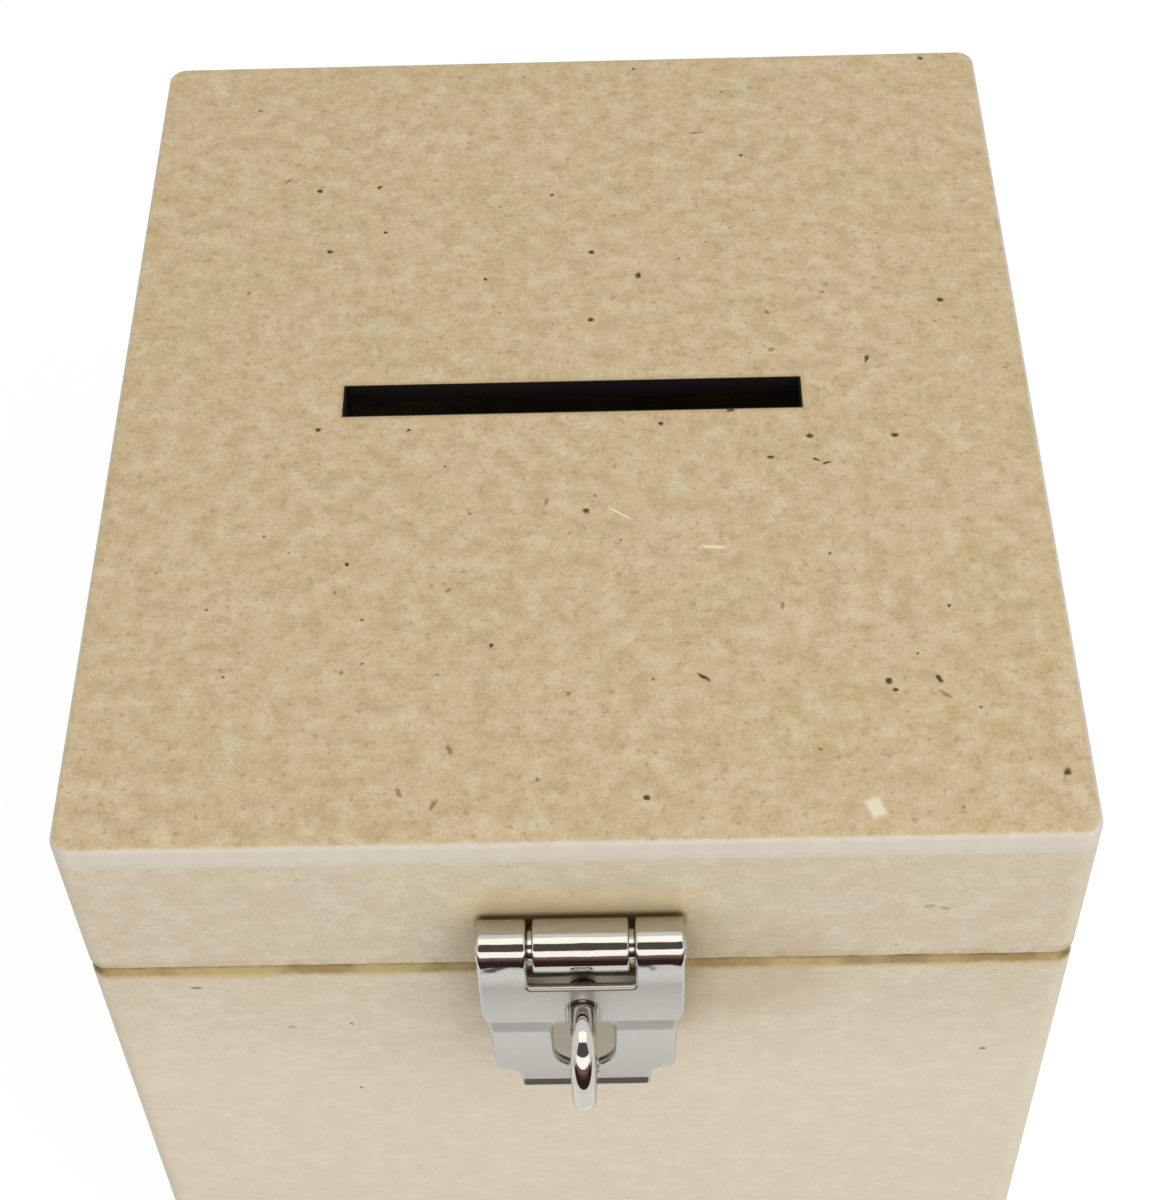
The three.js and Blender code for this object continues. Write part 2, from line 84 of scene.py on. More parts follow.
def placeCamera(view):
    rise, turn, roll = (math.radians(view[key]) for key in ("rise", "turn", "roll"))
    back = Vector((math.sin(turn) * math.cos(rise), -math.cos(turn) * math.cos(rise), math.sin(rise)))
    right = Vector((math.cos(turn), math.sin(turn), 0))
    up = back.cross(right)
    rolledRight = right * math.cos(roll) + up * math.sin(roll)
    rolledUp = up * math.cos(roll) - right * math.sin(roll)
    place = Matrix((rolledRight, rolledUp, back)).transposed().to_4x4()
    place.translation = (Vector(view["aim"]) + back * view["distance"]) * mm
    camera = bpy.data.objects.new("camera", bpy.data.cameras.new("camera"))
    camera.data.lens = view["lens"]
    camera.data.clip_start = 0.01
    camera.matrix_world = place
    scene.collection.objects.link(camera)
    scene.camera = camera


placeCamera(viewpoint)
print("camera placed")


def toLinear(hexColour):
    channels = [int(hexColour[i:i + 2], 16) / 255 for i in (1, 3, 5)]
    linear = [c / 12.92 if c <= 0.04045 else ((c + 0.055) / 1.055) ** 2.4 for c in channels]
    return (*linear, 1.0)


def addNode(tree, kind, inputs=(), **settings):
    # inputs are a dictionary by socket name, or a list in the order of the sockets
    node = tree.nodes.new("ShaderNode" + kind)
    for name, value in settings.items():
        setattr(node, name, value)
    for socket, value in inputs.items() if isinstance(inputs, dict) else enumerate(inputs):
        if isinstance(value, bpy.types.NodeSocket):
            tree.links.new(value, node.inputs[socket])
        else:
            node.inputs[socket].default_value = value
    return node.outputs[0] if node.outputs else node


def startMaterial(name):
    material = bpy.data.materials.new(name)
    material.use_nodes = True
    material.node_tree.nodes.clear()
    return material, material.node_tree


def findPlace(tree):
    # place on the piece, mm
    place = addNode(tree, "TexCoord").node.outputs["Object"]
    return addNode(tree, "VectorMath", {0: place, "Scale": 1 / mm}, operation="SCALE")


def finishMaterial(tree, **inputs):
    sockets = {name.replace("_", " "): value for name, value in inputs.items()}
    shader = addNode(tree, "BsdfPrincipled", sockets)
    addNode(tree, "OutputMaterial", {"Surface": shader})


def layTone(tree, colour, value, low, high, share, tone):
    # mixes a tone in where a pattern runs from low to high
    mask = addNode(tree, "MapRange", {"Value": value, "From Min": low, "From Max": high, "To Max": share})
    return addNode(tree, "MixRGB", [mask, colour, toLinear(tone) if isinstance(tone, str) else tone])


def joinMasks(tree, masks):
    joined = masks[0]
    for mask in masks[1:]:
        joined = addNode(tree, "Math", [joined, mask], operation="MAXIMUM")
    return joined


# Medium-density fibreboard, hot pressed from wood fibre: a felted tan sheet with soft blotches,
# brown flecks, a few stray fibres lying in the sheet, and dark specks of bark
fibreboard = {
    "cloud": 15.0,  # mm, soft patches of olive and pink tan
    "mottle": 3.0,  # mm, paler and darker blotches inside the patches
    "fleck": 1.0,  # mm, brown flecks of uneven shape
    "fibreLength": 1.7,  # mm
    "fibreWidth": 0.34,  # mm, real ones are near 0.05 and would not show
    "fibreTurns": 4,  # directions in the sheet
    "speckCell": 3.2,  # mm between bark specks
    "speckRadius": 0.34,  # mm
    "speckShare": 0.45,  # of the cells
    "speckEdge": 0.2,  # mm, softness
    "ragged": 0.5,  # mm, unevenness of a speck's outline
    "fuzz": 0.2,  # mm, raised fibre ends
    "relief": 0.03,  # mm
}


def feltFibres(tree, flat, seed, threshold):
    strands = []
    length, width = fibreboard["fibreLength"], fibreboard["fibreWidth"]
    for i in range(fibreboard["fibreTurns"]):
        laid = addNode(tree, "Mapping", {
            "Vector": flat,
            "Location": (11 * i * seed, 17 * i, 5 * seed),
            "Rotation": (0, 0, math.pi * (i + 0.37 * seed) / fibreboard["fibreTurns"]),
            "Scale": (length, width, width),
        }, vector_type="TEXTURE")
        strand = addNode(tree, "TexNoise", {"Vector": laid, "Scale": 1.0, "Detail": 0.0})
        strands.append(addNode(tree, "MapRange", {
            "Value": strand, "From Min": threshold, "From Max": threshold + 0.08}))
    return joinMasks(tree, strands)


def scatterSpecks(tree, flat):
    cell = fibreboard["speckCell"]
    bend = fibreboard["ragged"]
    wobble = addNode(tree, "TexNoise", {"Vector": flat, "Scale": 1 / bend, "Detail": 0.0})
    bent = addNode(tree, "VectorMath", [wobble.node.outputs["Color"], (bend / 2,) * 3, flat],
                   operation="MULTIPLY_ADD")
    cells = addNode(tree, "TexVoronoi", {"Vector": bent, "Scale": 1 / cell})
    chance = addNode(tree, "SeparateColor", {"Color": cells.node.outputs["Color"]})
    widest = fibreboard["speckRadius"] / cell
    size = addNode(tree, "MapRange", {
        "Value": chance, "From Min": 1 - fibreboard["speckShare"], "To Max": widest})
    depth = addNode(tree, "Math", [size, cells], operation="SUBTRACT")
    return addNode(tree, "MapRange", {"Value": depth, "From Max": fibreboard["speckEdge"] / cell})


def layFibreboard(tree, place, tones, turn):
    flat = addNode(tree, "Mapping", {"Vector": place, "Rotation": turn})
    grains = (("cloud", 3.0, 0.5), ("mottle", 3.0, 0.62), ("fleck", 2.0, 0.5), ("fuzz", 1.0, 0.5))
    cloud, mottle, fleck, fuzz = (addNode(tree, "TexNoise", {
        "Vector": flat, "Scale": 1 / fibreboard[size], "Detail": detail, "Roughness": rough,
    }) for size, detail, rough in grains)
    pale = feltFibres(tree, flat, 1, 0.7)
    dark = feltFibres(tree, flat, 2, 0.72)
    specks = scatterSpecks(tree, flat)
    colour = toLinear(tones["olive"])
    for value, low, high, share, tone in (
            (cloud, 0.36, 0.62, 1.0, "pink"), (mottle, 0.5, 0.64, tones["blotch"], "shade"),
            (mottle, 0.48, 0.34, tones["wisp"], "light"), (fleck, 0.58, 0.74, tones["flecks"], "brown"),
            (fleck, 0.38, 0.28, tones["wisp"], "light"), (pale, 0.0, 1.0, tones["paleFibre"], "light"),
            (dark, 0.0, 1.0, tones["darkFibre"], "brown"), (specks, 0.0, 1.0, tones["specks"], "bark")):
        colour = layTone(tree, colour, value, low, high, share, tones[tone])
    height = addNode(tree, "Math", [pale, 0.5, fuzz], operation="MULTIPLY_ADD")
    bump = addNode(tree, "Bump", {"Height": height, "Strength": 0.5, "Distance": fibreboard["relief"] * mm})
    return colour, bump


def distanceOutside(tree, place, halfLength, halfWidth, radius):
    # how far a point lies outside a rectangle with rounded corners in plan, mm
    size = addNode(tree, "VectorMath", [place], operation="ABSOLUTE")
    size = addNode(tree, "VectorMath", [size, (1, 1, 0)], operation="MULTIPLY")
    straight = (halfLength - radius, halfWidth - radius, 0)
    past = addNode(tree, "VectorMath", [size, straight], operation="SUBTRACT")
    split = addNode(tree, "SeparateXYZ", [past])
    deepest = addNode(tree, "Math", [split, split.node.outputs["Y"]], operation="MAXIMUM")
    inside = addNode(tree, "Math", [deepest, 0.0], operation="MINIMUM")
    corner = addNode(tree, "VectorMath", [past, (0, 0, 0)], operation="MAXIMUM")
    away = addNode(tree, "VectorMath", [corner], operation="LENGTH").node.outputs["Value"]
    signed = addNode(tree, "Math", [inside, away], operation="ADD")
    return addNode(tree, "Math", [signed, radius], operation="SUBTRACT")


sandedStreak = {"wide": 2.2, "tall": 5.0, "dark": "#CAC1B1", "light": "#D9D1C5"}  # mm


def sandedEdge(tree, place):
    # the sheet's edge after sanding: pale grey with faint upright streaks
    wide = sandedStreak["wide"]
    streaks = addNode(tree, "Mapping", {
        "Vector": place, "Scale": (wide, wide, sandedStreak["tall"])}, vector_type="TEXTURE")
    dusty = addNode(tree, "TexNoise", {"Vector": streaks, "Scale": 1.0, "Detail": 3.0})
    return addNode(tree, "MixRGB", [dusty, toLinear(sandedStreak["dark"]), toLinear(sandedStreak["light"])])


spotEdge = {"outer": 1.25, "inner": 0.65}  # shares of a spot's size between which it fades
spotDepth = {"lid": 2.0, "front": 4.0}  # mm into the board


def markSpots(tree, place, spots, squared=False, upright=False):
    # spots on the lid's top, or upright on the front
    marks = []
    for across, along, length, width, turn in spots:
        tilt = math.radians(turn)
        if upright:
            lie = {"Location": (across, -halfDepth, along), "Rotation": (0, -tilt, 0),
                   "Scale": (length / 2, spotDepth["front"], width / 2)}
        else:
            lie = {"Location": (across, along, lidTop), "Rotation": (0, 0, tilt),
                   "Scale": (length / 2, width / 2, spotDepth["lid"])}
        around = addNode(tree, "Mapping", {"Vector": place, **lie}, vector_type="TEXTURE")
        if squared:
            sides = addNode(tree, "VectorMath", [around], operation="ABSOLUTE")
            split = addNode(tree, "SeparateXYZ", [sides])
            reach = addNode(tree, "Math", [split, split.node.outputs["Y"]], operation="MAXIMUM")
        else:
            reach = addNode(tree, "VectorMath", [around], operation="LENGTH").node.outputs["Value"]
        marks.append(addNode(tree, "MapRange", {
            "Value": reach, "From Min": spotEdge["outer"], "From Max": spotEdge["inner"]}))
    return joinMasks(tree, marks)


pressedTones = {
    "olive": "#C7B48B", "pink": "#CCB591", "shade": "#B9A277", "light": "#DACBA9", "brown": "#977E55",
    "bark": "#2E2110", "husk": "#6E5733", "splinter": "#EDE0C6", "char": "#120D08", "scorch": "#8A6738",
    "blotch": 0.6, "wisp": 0.5, "flecks": 0.5, "paleFibre": 0.25, "darkFibre": 0.13, "specks": 0.8,
}
# x, y, length, width in mm and turn in degrees of the specks that stand out on the lid
barkSpots = [
    (-33.6, 28.9, 0.9, 0.8, 0), (-27.3, 42.1, 0.8, 0.7, 40), (-35.8, 41.6, 0.8, 0.9, 0),
    (2.8, 27.6, 0.9, 0.8, 10), (2.6, 14.3, 0.9, 0.8, 0), (-2.7, 39.7, 0.6, 0.6, 0),
    (9.2, 22.8, 0.8, 1.1, 0), (-26.0, 32.6, 0.6, 0.5, 0), (-11.8, 22.7, 0.5, 0.5, 0),
    (52.2, 68.3, 0.8, 0.7, -30), (24.5, 47.3, 0.6, 0.7, 0), (49.9, 16.7, 0.9, 0.8, 0),
    (39.1, 5.8, 1.5, 0.5, 75), (20.7, -3.0, 1.2, 0.7, 25), (-33.1, -5.0, 0.9, 0.8, 0),
    (30.7, -7.9, 0.9, 0.8, 0), (25.4, -11.5, 0.9, 0.6, 0), (41.6, -8.1, 1.1, 0.7, 0),
    (31.2, -12.0, 1.3, 0.35, -28), (32.5, -12.7, 1.3, 0.4, 14), (15.5, -46.7, 1.9, 0.55, -40),
    (37.4, -47.8, 0.8, 0.9, 0), (38.1, -49.1, 0.6, 0.6, 0), (43.4, -47.6, 1.3, 0.6, -65),
    (56.7, -61.4, 1.25, 0.9, 50), (8.3, -63.9, 0.8, 0.8, 0), (-9.9, -41.3, 0.6, 0.6, 0),
    (-28.1, -28.1, 0.6, 0.6, 0), (1.7, -20.0, 0.8, 0.9, 50), (11.5, -5.2, 0.6, 0.6, 0),
    (-21.3, -5.4, 0.5, 0.5, 0), (45.7, -36.5, 0.5, 0.5, 0),
]
brownSpots = [
    (-40.4, 44.0, 1.6, 0.5, 40), (-44.3, 20.9, 0.6, 0.5, 0), (-45.7, 59.7, 0.8, 0.6, 0),
    (34.1, 18.8, 0.8, 0.6, 0), (26.4, 15.1, 0.8, 0.7, 0), (26.6, 7.9, 1.0, 0.8, 30),
    (18.2, 52.5, 2.2, 0.35, 5), (14.8, 26.0, 0.6, 0.5, 0), (25.5, -36.0, 1.2, 0.5, 80),
    (-14.5, -56.7, 1.4, 0.7, -70), (-20.2, -62.6, 1.5, 0.55, -70), (-16.2, -64.4, 1.8, 0.6, 65),
    (-0.6, -48.8, 0.7, 0.6, 0), (-4.2, -61.1, 0.6, 0.5, 0), (-3.3, -18.4, 1.2, 0.5, 80),
    (-15.4, -32.6, 0.8, 0.5, 20), (-25.4, -43.7, 0.5, 0.5, 0), (-27.8, -45.0, 0.9, 0.5, 70),
    (43.9, -49.9, 1.9, 0.4, -40),
]
paleChips = [(34.4, -65.8, 1.85, 2.6, 20), (17.5, -26.4, 3.0, 0.5, -4), (5.9, -20.5, 3.2, 0.3, -35)]
cutEdge = {"ragged": 1.2, "waver": -0.5, "fade": (-0.8, -0.45), "share": 0.95}  # mm from the outside


def pressedFibreboard():
    material, tree = startMaterial("fibreboardHotPressed")
    place = findPlace(tree)
    colour, bump = layFibreboard(tree, place, pressedTones, (0, 0, 0))
    bend = fibreboard["ragged"]
    wobble = addNode(tree, "TexNoise", {"Vector": place, "Scale": 1 / bend, "Detail": 1.0})
    bent = addNode(tree, "VectorMath", [wobble.node.outputs["Color"], (bend,) * 3, place],
                   operation="MULTIPLY_ADD")
    bent = addNode(tree, "VectorMath", [bent, (bend / 2,) * 3], operation="SUBTRACT")
    for marks, share, tone in (
            (markSpots(tree, bent, brownSpots), 0.65, "husk"),
            (markSpots(tree, bent, barkSpots), 0.9, "bark"),
            (markSpots(tree, place, paleChips, squared=True), 0.85, "splinter")):
        colour = layTone(tree, colour, marks, 0.0, 1.0, share, pressedTones[tone])
    # the cut edge of the sheet is sanded paler than its face
    ragged = addNode(tree, "TexNoise", {"Vector": place, "Scale": 1 / cutEdge["ragged"], "Detail": 3.0})
    outside = distanceOutside(tree, place, halfWidth, halfDepth, boxCorner)
    edgeLine = addNode(tree, "Math", [ragged, cutEdge["waver"], outside], operation="MULTIPLY_ADD")
    colour = layTone(tree, colour, edgeLine, *cutEdge["fade"], cutEdge["share"], sandedEdge(tree, place))
    # the slot was cut by laser: black walls and a faint brown halo
    fromSlot = distanceOutside(tree, place, ballotSlot["length"] / 2, ballotSlot["width"] / 2, 0)
    colour = layTone(tree, colour, fromSlot, ballotSlot["scorch"], 0.0, 0.35, pressedTones["scorch"])
    char = ballotSlot["char"]
    colour = layTone(tree, colour, fromSlot, 2 * char, char, 1.0, pressedTones["char"])
    finishMaterial(tree, Base_Color=colour, Roughness=0.82, Specular_IOR_Level=0.25, Normal=bump)
    return material


# tones of the sanded boards, among them painted light for the lower walls and painted shade for the parting
# line and round the hasp
sandedTones = {
    "olive": "#CBBFA4", "pink": "#CCBEA6", "shade": "#C3B699", "light": "#D9CFB9", "worn": "#E6DCC8",
    "brown": "#B29F7B", "bark": "#6A5A3E", "edge": "#D7CEB8", "rim": "#BAA574", "rimDark": "#9C8253",
    "gap": "#5A4520", "grime": "#5A380A", "gold": "#E0BC78", "stain": "#97804F", "scuff": "#C0AA78",
    "blotch": 0.5, "wisp": 0.45, "flecks": 0.3, "paleFibre": 0.2, "darkFibre": 0.1, "specks": 0.4,
}
# start and end in mm and share of each kind of wear, painted light and painted shade on the sanded boards
wearAndPaintedLight = {
    "paler": (96.0, 66.0, 0.4),  # painted light thrown up by the table, stronger lower down
    "rubbed": (-2.6, -0.4, 0.6),  # from the upright corners
    "band": (-0.7, 0.25, 0.95),  # from the underside of the lid's sheet
    "scuff": (-3.6, -2.3, 0.7),  # from the top of the walls
    "skirt": (-1.3, -0.9, 0.3),  # from the outside, with the share left on the flat rims
    "rim": (2.1, 1.7),  # from the parting line
    "cut": (-0.12, -0.36, 0.9),  # from the outside
    "gap": (1.22, 0.92, 0.42),  # from the parting line, painted shade under the lid's edge
    "partingCornerShade": (-2.4, -1.2, 0.7),  # from the upright corners, painted shade deeper where the parting line meets them
    "front": (4.0, 1.0),  # in from the front, for the painted shade and light round the hasp
    "haspCorner": 0.4,  # mm, of those painted patches
    "ragged": 1.6, "patch": 7.0,  # mm, sizes of the unevenness
}
waver = {"band": 0.5, "scuff": -2.4, "cut": -0.35, "gap": 0.9}  # mm that the unevenness moves a line
# x, z, length, width in mm and turn in degrees of the marks that stand out on the front
frontMarks = [
    (-47.4, 89.4, 1.6, 0.5, -8), (51.2, 70.8, 0.9, 0.6, 0), (-29.5, 63.0, 0.5, 0.5, 0),
    (-29.1, 79.9, 0.7, 0.35, -50),
]
# a soft patch of painted shade on the front beside the hasp, reaching out to its right
frontShadeBesideHasp = [(19.0, 91.0, 24.0, 22.0, 0)]
frontSmudges = [(41.4, 105.4, 1.5, 0.8, 10), (43.2, 104.9, 1.3, 0.7, -15), (-36.7, 79.3, 1.3, 0.6, 0)]
# drop below the pin, half width, half height and fade in mm, share and tone of the patches round the hasp:
# painted shade round the flap, a golden stain above the barrel lightened as painted light, and painted shade
# behind the barrel
haspShadeAndLight = [
    (12.2, 11.5, 11.4, 5.5, 0.25, "stain"), (-2.0, 12.0, 3.0, 4.0, 0.28, "gold"),
    (0.0, 11.9, 1.2, 0.9, 0.8, "grime"),
]


def sandedFibreboard(name, turn):
    # sanded outside: paler and smoother than the pressed face, rough and browner at the sawn rims; painted
    # light pales the lower walls, and painted shade darkens the parting line and the front round the hasp
    material, tree = startMaterial(name)
    place = findPlace(tree)
    colour, bump = layFibreboard(tree, place, sandedTones, turn)
    ragged, patchy = (addNode(tree, "TexNoise", {"Vector": place, "Scale": 1 / wearAndPaintedLight[size], "Detail": 4.0})
                      for size in ("ragged", "patch"))
    split = addNode(tree, "SeparateXYZ", [place]).node.outputs
    level, depth = split["Z"], split["Y"]
    outside = distanceOutside(tree, place, halfWidth, halfDepth, boxCorner)
    size = addNode(tree, "VectorMath", [place], operation="ABSOLUTE")
    past = addNode(tree, "VectorMath", [size, (halfWidth, halfDepth, 0)], operation="SUBTRACT")
    sides = addNode(tree, "SeparateXYZ", [past])
    corner = addNode(tree, "Math", [sides, sides.node.outputs["Y"]], operation="MINIMUM")
    away = addNode(tree, "Math", [level, (bodyTop + lidBottom) / 2], operation="SUBTRACT")
    away = addNode(tree, "Math", [away], operation="ABSOLUTE")
    uneven = (("band", ragged, level), ("scuff", patchy, level),
              ("cut", ragged, outside), ("gap", ragged, away))
    bandLine, scuffLine, cutLine, partingShadeLine = (
        addNode(tree, "Math", [pattern, waver[line], value], operation="MULTIPLY_ADD")
        for line, pattern, value in uneven)
    # painted light from the table makes the lower part of the walls paler, and the front is marked, with a
    # patch of painted shade beside the hasp
    colour = layTone(tree, colour, level, *wearAndPaintedLight["paler"], sandedTones["worn"])
    for spots, share, tone in (
            (frontShadeBesideHasp, 0.24, "stain"), (frontMarks, 0.8, "bark"), (frontSmudges, 0.4, "bark")):
        marks = markSpots(tree, place, spots, upright=True)
        colour = layTone(tree, colour, marks, 0.0, 1.0, share, sandedTones[tone])
    colour = layTone(tree, colour, corner, *wearAndPaintedLight["rubbed"], sandedTones["edge"])
    # the pale band of the lid's sanded edge runs a little way down the rails
    low, high, share = wearAndPaintedLight["band"]
    colour = layTone(tree, colour, bandLine, lidLow.z + low, lidLow.z + high, share, sandedEdge(tree, place))
    # the top of the walls is scuffed yellow below the parting line, on the outside
    low, high, share = wearAndPaintedLight["skirt"]
    skirt = addNode(tree, "MapRange", {"Value": outside, "From Min": low, "From Max": high, "To Min": share})
    low, high, share = wearAndPaintedLight["scuff"]
    onWall = addNode(tree, "Math", [level, bodyTop + 0.05], operation="LESS_THAN")
    shown = addNode(tree, "MapRange", {"Value": onWall, "To Max": share})
    shown = addNode(tree, "Math", [shown, skirt], operation="MULTIPLY")
    colour = layTone(tree, colour, scuffLine, bodyTop + low, bodyTop + high, shown, sandedTones["scuff"])
    # sawn rims on both sides of the parting line, brown where the saw has cut in from the outside, and
    # darkened along the parting line and at its corners with painted shade
    low, high = wearAndPaintedLight["rim"]
    near = addNode(tree, "MapRange", {"Value": away, "From Min": low, "From Max": high, "To Max": skirt})
    lines = ((cutLine, *wearAndPaintedLight["cut"]), (partingShadeLine, *wearAndPaintedLight["gap"]), (corner, *wearAndPaintedLight["partingCornerShade"]))
    cut, gap, partingCornerShade = (addNode(tree, "MapRange", {
        "Value": value, "From Min": low, "From Max": high, "To Max": share,
    }) for value, low, high, share in lines)
    rimColour = layTone(tree, toLinear(sandedTones["rim"]), patchy, 0.42, 0.6, 1.0, sandedTones["rimDark"])
    gap = joinMasks(tree, [gap, partingCornerShade])
    rimColour = layTone(tree, rimColour, gap, 0.0, 1.0, skirt, sandedTones["gap"])
    colour = layTone(tree, colour, cut, 0.0, 1.0, near, rimColour)
    # painted shade darkens the front round the hasp and behind its barrel, and a golden stain above the
    # barrel is lightened as painted light
    low, high = (reach - halfDepth for reach in wearAndPaintedLight["front"])
    for drop, half, tall, fade, share, tone in haspShadeAndLight:
        beside = addNode(tree, "Mapping", {
            "Vector": place, "Location": (haspAxis.x, 0, haspAxis.z - drop), "Rotation": (quarter, 0, 0),
        }, vector_type="TEXTURE")
        reach = distanceOutside(tree, beside, half, tall, wearAndPaintedLight["haspCorner"])
        shown = addNode(tree, "MapRange", {
            "Value": reach, "From Min": fade, "From Max": 0.0, "To Max": share})
        colour = layTone(tree, colour, depth, low, high, shown, sandedTones[tone])
    finishMaterial(tree, Base_Color=colour, Roughness=0.85, Specular_IOR_Level=0.2, Normal=bump)
    return material


# Bright nickel-chrome plate: a warm grey mirror where the sheet is rolled round the pin and on drawn
# wire, and hazed on the flat faces, which were brushed before plating
plating = {"haze": 1.1, "ripple": 2.6, "rippleDepth": 0.04, "rolledTo": 3.6, "flatFrom": 5.0}  # mm


def brightChrome(name, rolled, flat, dark, light):
    material, tree = startMaterial(name)
    place = findPlace(tree)
    waves = addNode(tree, "TexNoise", {"Vector": place, "Scale": 1 / plating["ripple"], "Detail": 1.0})
    haze = addNode(tree, "TexNoise", {"Vector": place, "Scale": 1 / plating["haze"], "Detail": 2.0})
    fromPin = addNode(tree, "VectorMath", [place, haspAxis], operation="SUBTRACT")
    fromPin = addNode(tree, "VectorMath", [fromPin, (0, 1, 1)], operation="MULTIPLY")
    reach = addNode(tree, "VectorMath", [fromPin], operation="LENGTH").node.outputs["Value"]
    brushed = addNode(tree, "MapRange", {
        "Value": reach, "From Min": plating["rolledTo"], "From Max": plating["flatFrom"],
        "To Min": rolled, "To Max": flat})
    roughness = addNode(tree, "Math", [haze, 0.05, brushed], operation="MULTIPLY_ADD")
    tint = addNode(tree, "MixRGB", [haze, toLinear(dark), toLinear(light)])
    bump = addNode(tree, "Bump", {"Height": waves, "Strength": 1.0, "Distance": plating["rippleDepth"] * mm})
    finishMaterial(tree, Base_Color=tint, Metallic=1.0, Roughness=roughness, Normal=bump)
    return material


# Zinc-plated steel, barrel plated: grey with a soft crystalline bloom and fine rolling lines
zincPlate = {"bloom": 1.4, "lineLength": 4.0, "lineWidth": 0.25, "lineDepth": 0.01,  # mm
             "dark": "#A9ACB1", "light": "#C3C4C2"}


def zincSteel():
    material, tree = startMaterial("zincPlatedSteel")
    place = findPlace(tree)
    width = zincPlate["lineWidth"]
    rolled = addNode(tree, "Mapping", {
        "Vector": place, "Scale": (zincPlate["lineLength"], width, width)}, vector_type="TEXTURE")
    lines = addNode(tree, "TexNoise", {"Vector": rolled, "Scale": 1.0, "Detail": 2.0})
    bloom = addNode(tree, "TexNoise", {"Vector": place, "Scale": 1 / zincPlate["bloom"], "Detail": 4.0})
    tint = addNode(tree, "MixRGB", [bloom, toLinear(zincPlate["dark"]), toLinear(zincPlate["light"])])
    roughness = addNode(tree, "MapRange", {
        "Value": lines, "From Min": 0.3, "From Max": 0.7, "To Min": 0.26, "To Max": 0.42})
    bump = addNode(tree, "Bump", {"Height": lines, "Strength": 0.6, "Distance": zincPlate["lineDepth"] * mm})
    finishMaterial(tree, Base_Color=tint, Metallic=1.0, Roughness=roughness, Normal=bump)
    return material


finishes = {
    "lid": pressedFibreboard(),
    "flatBoard": sandedFibreboard("fibreboardSandedFlat", (0, 0, 0)),
    "frontBoard": sandedFibreboard("fibreboardSandedFront", (quarter, 0, 0)),
    "sideBoard": sandedFibreboard("fibreboardSandedSide", (0, quarter, 0)),
    "sheetChrome": brightChrome("chromePlatedPressedSteel", 0.05, 0.3, "#BFBDB6", "#C9C7C1"),
    # the staple plate's chrome is tinted darker and warm brown: painted shade under the flap and a painted
    # reflection of the fibreboard
    "shadedPlateChrome": brightChrome("chromePlateTintedShade", 0.35, 0.35, "#A29888", "#AEA493"),
    "wireChrome": brightChrome("chromePlatedDrawnWire", 0.03, 0.03, "#C2BFB8", "#CCC9C3"),
    "zinc": zincSteel(),
}
print("materials made:", len(finishes))


def addPiece(node, mesh, body, finish):
    # a piece has its node's name in one word
    words = node.split("_")
    mesh.name = words[0] + "".join(word.title() for word in words[1:])
    mesh.materials.append(finishes[finish])
    piece = bpy.data.objects.new(mesh.name, mesh)
    scene.collection.objects.link(piece)
    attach(piece, body)
    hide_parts(node)


def ringFaces(rings):
    # rings of point numbers, joined in order
    faces = []
    for lower, upper in zip(rings, rings[1:]):
        for i in range(len(lower)):
            k = (i + 1) % len(lower)
            faces.append((lower[i], lower[k], upper[k], upper[i]))
    return faces


def makeMesh(points, faces, sharp=None):
    # points in mm, and the angle in degrees from which an edge stays hard
    mesh = bpy.data.meshes.new("piece")
    mesh.from_pydata([point * mm for point in points], [], faces)
    bm = bmesh.new()
    bm.from_mesh(mesh)
    bmesh.ops.recalc_face_normals(bm, faces=bm.faces)
    bm.to_mesh(mesh)
    bm.free()
    mesh.shade_smooth()
    if sharp:
        mesh.set_sharp_from_angle(angle=math.radians(sharp))
    return mesh


def closedTube(rings, sharp):
    # rings of points, joined in order and closed at both ends
    count = len(rings[0])
    numbers = [list(range(count * k, count * (k + 1))) for k in range(len(rings))]
    faces = ringFaces(numbers) + [numbers[0], numbers[-1]]
    return makeMesh([point for ring in rings for point in ring], faces, sharp)


# Boards: a plan outline stacked level by level, with softened arrises and rough sawn rims
boardCut = {
    "arris": 0.15,  # mm, on glued edges
    "step": 1.0,  # mm along an edge
    "chip": 0.22,  # mm, depth of chipping on a sawn rim
    "chipLength": 1.6,  # mm
}
# height above the low face or below the high face, inset and share of chipping
gluedLow = [(0.0, 0.12, 0.0), (0.12, 0.0, 0.0)]
gluedHigh = [(-0.12, 0.0, 0.0), (0.0, 0.12, 0.0)]
sawnLow = [(0.0, 0.36, 0.0), (0.16, 0.18, 0.4), (0.34, 0.02, 0.5), (0.4, 0.0, 0.4), (0.8, 0.0, 0.0),
           (1.3, 0.0, 0.0)]
sawnHigh = [(-2.3, 0.0, 0.0), (-1.8, 0.0, 0.0), (-1.4, 0.0, 0.5), (-1.28, 0.06, 1.0), (-0.7, 0.4, 1.0),
            (-0.12, 0.72, 0.5), (0.0, 0.8, 0.0)]
softLow = [(0.0, 0.55, 0.0), (0.06, 0.32, 0.0), (0.2, 0.12, 0.0), (0.5, 0.0, 0.0)]
softHigh = [(-0.8, 0.0, 0.0), (-0.55, 0.04, 0.0), (-0.3, 0.16, 0.0), (-0.13, 0.35, 0.0), (-0.03, 0.6, 0.0),
            (0.0, 0.9, 0.0)]
boardEdges = {"bottom": (softLow, gluedHigh), "wall": (gluedLow, sawnHigh), "rail": (sawnLow, gluedHigh),
              "top": (gluedLow, softHigh)}
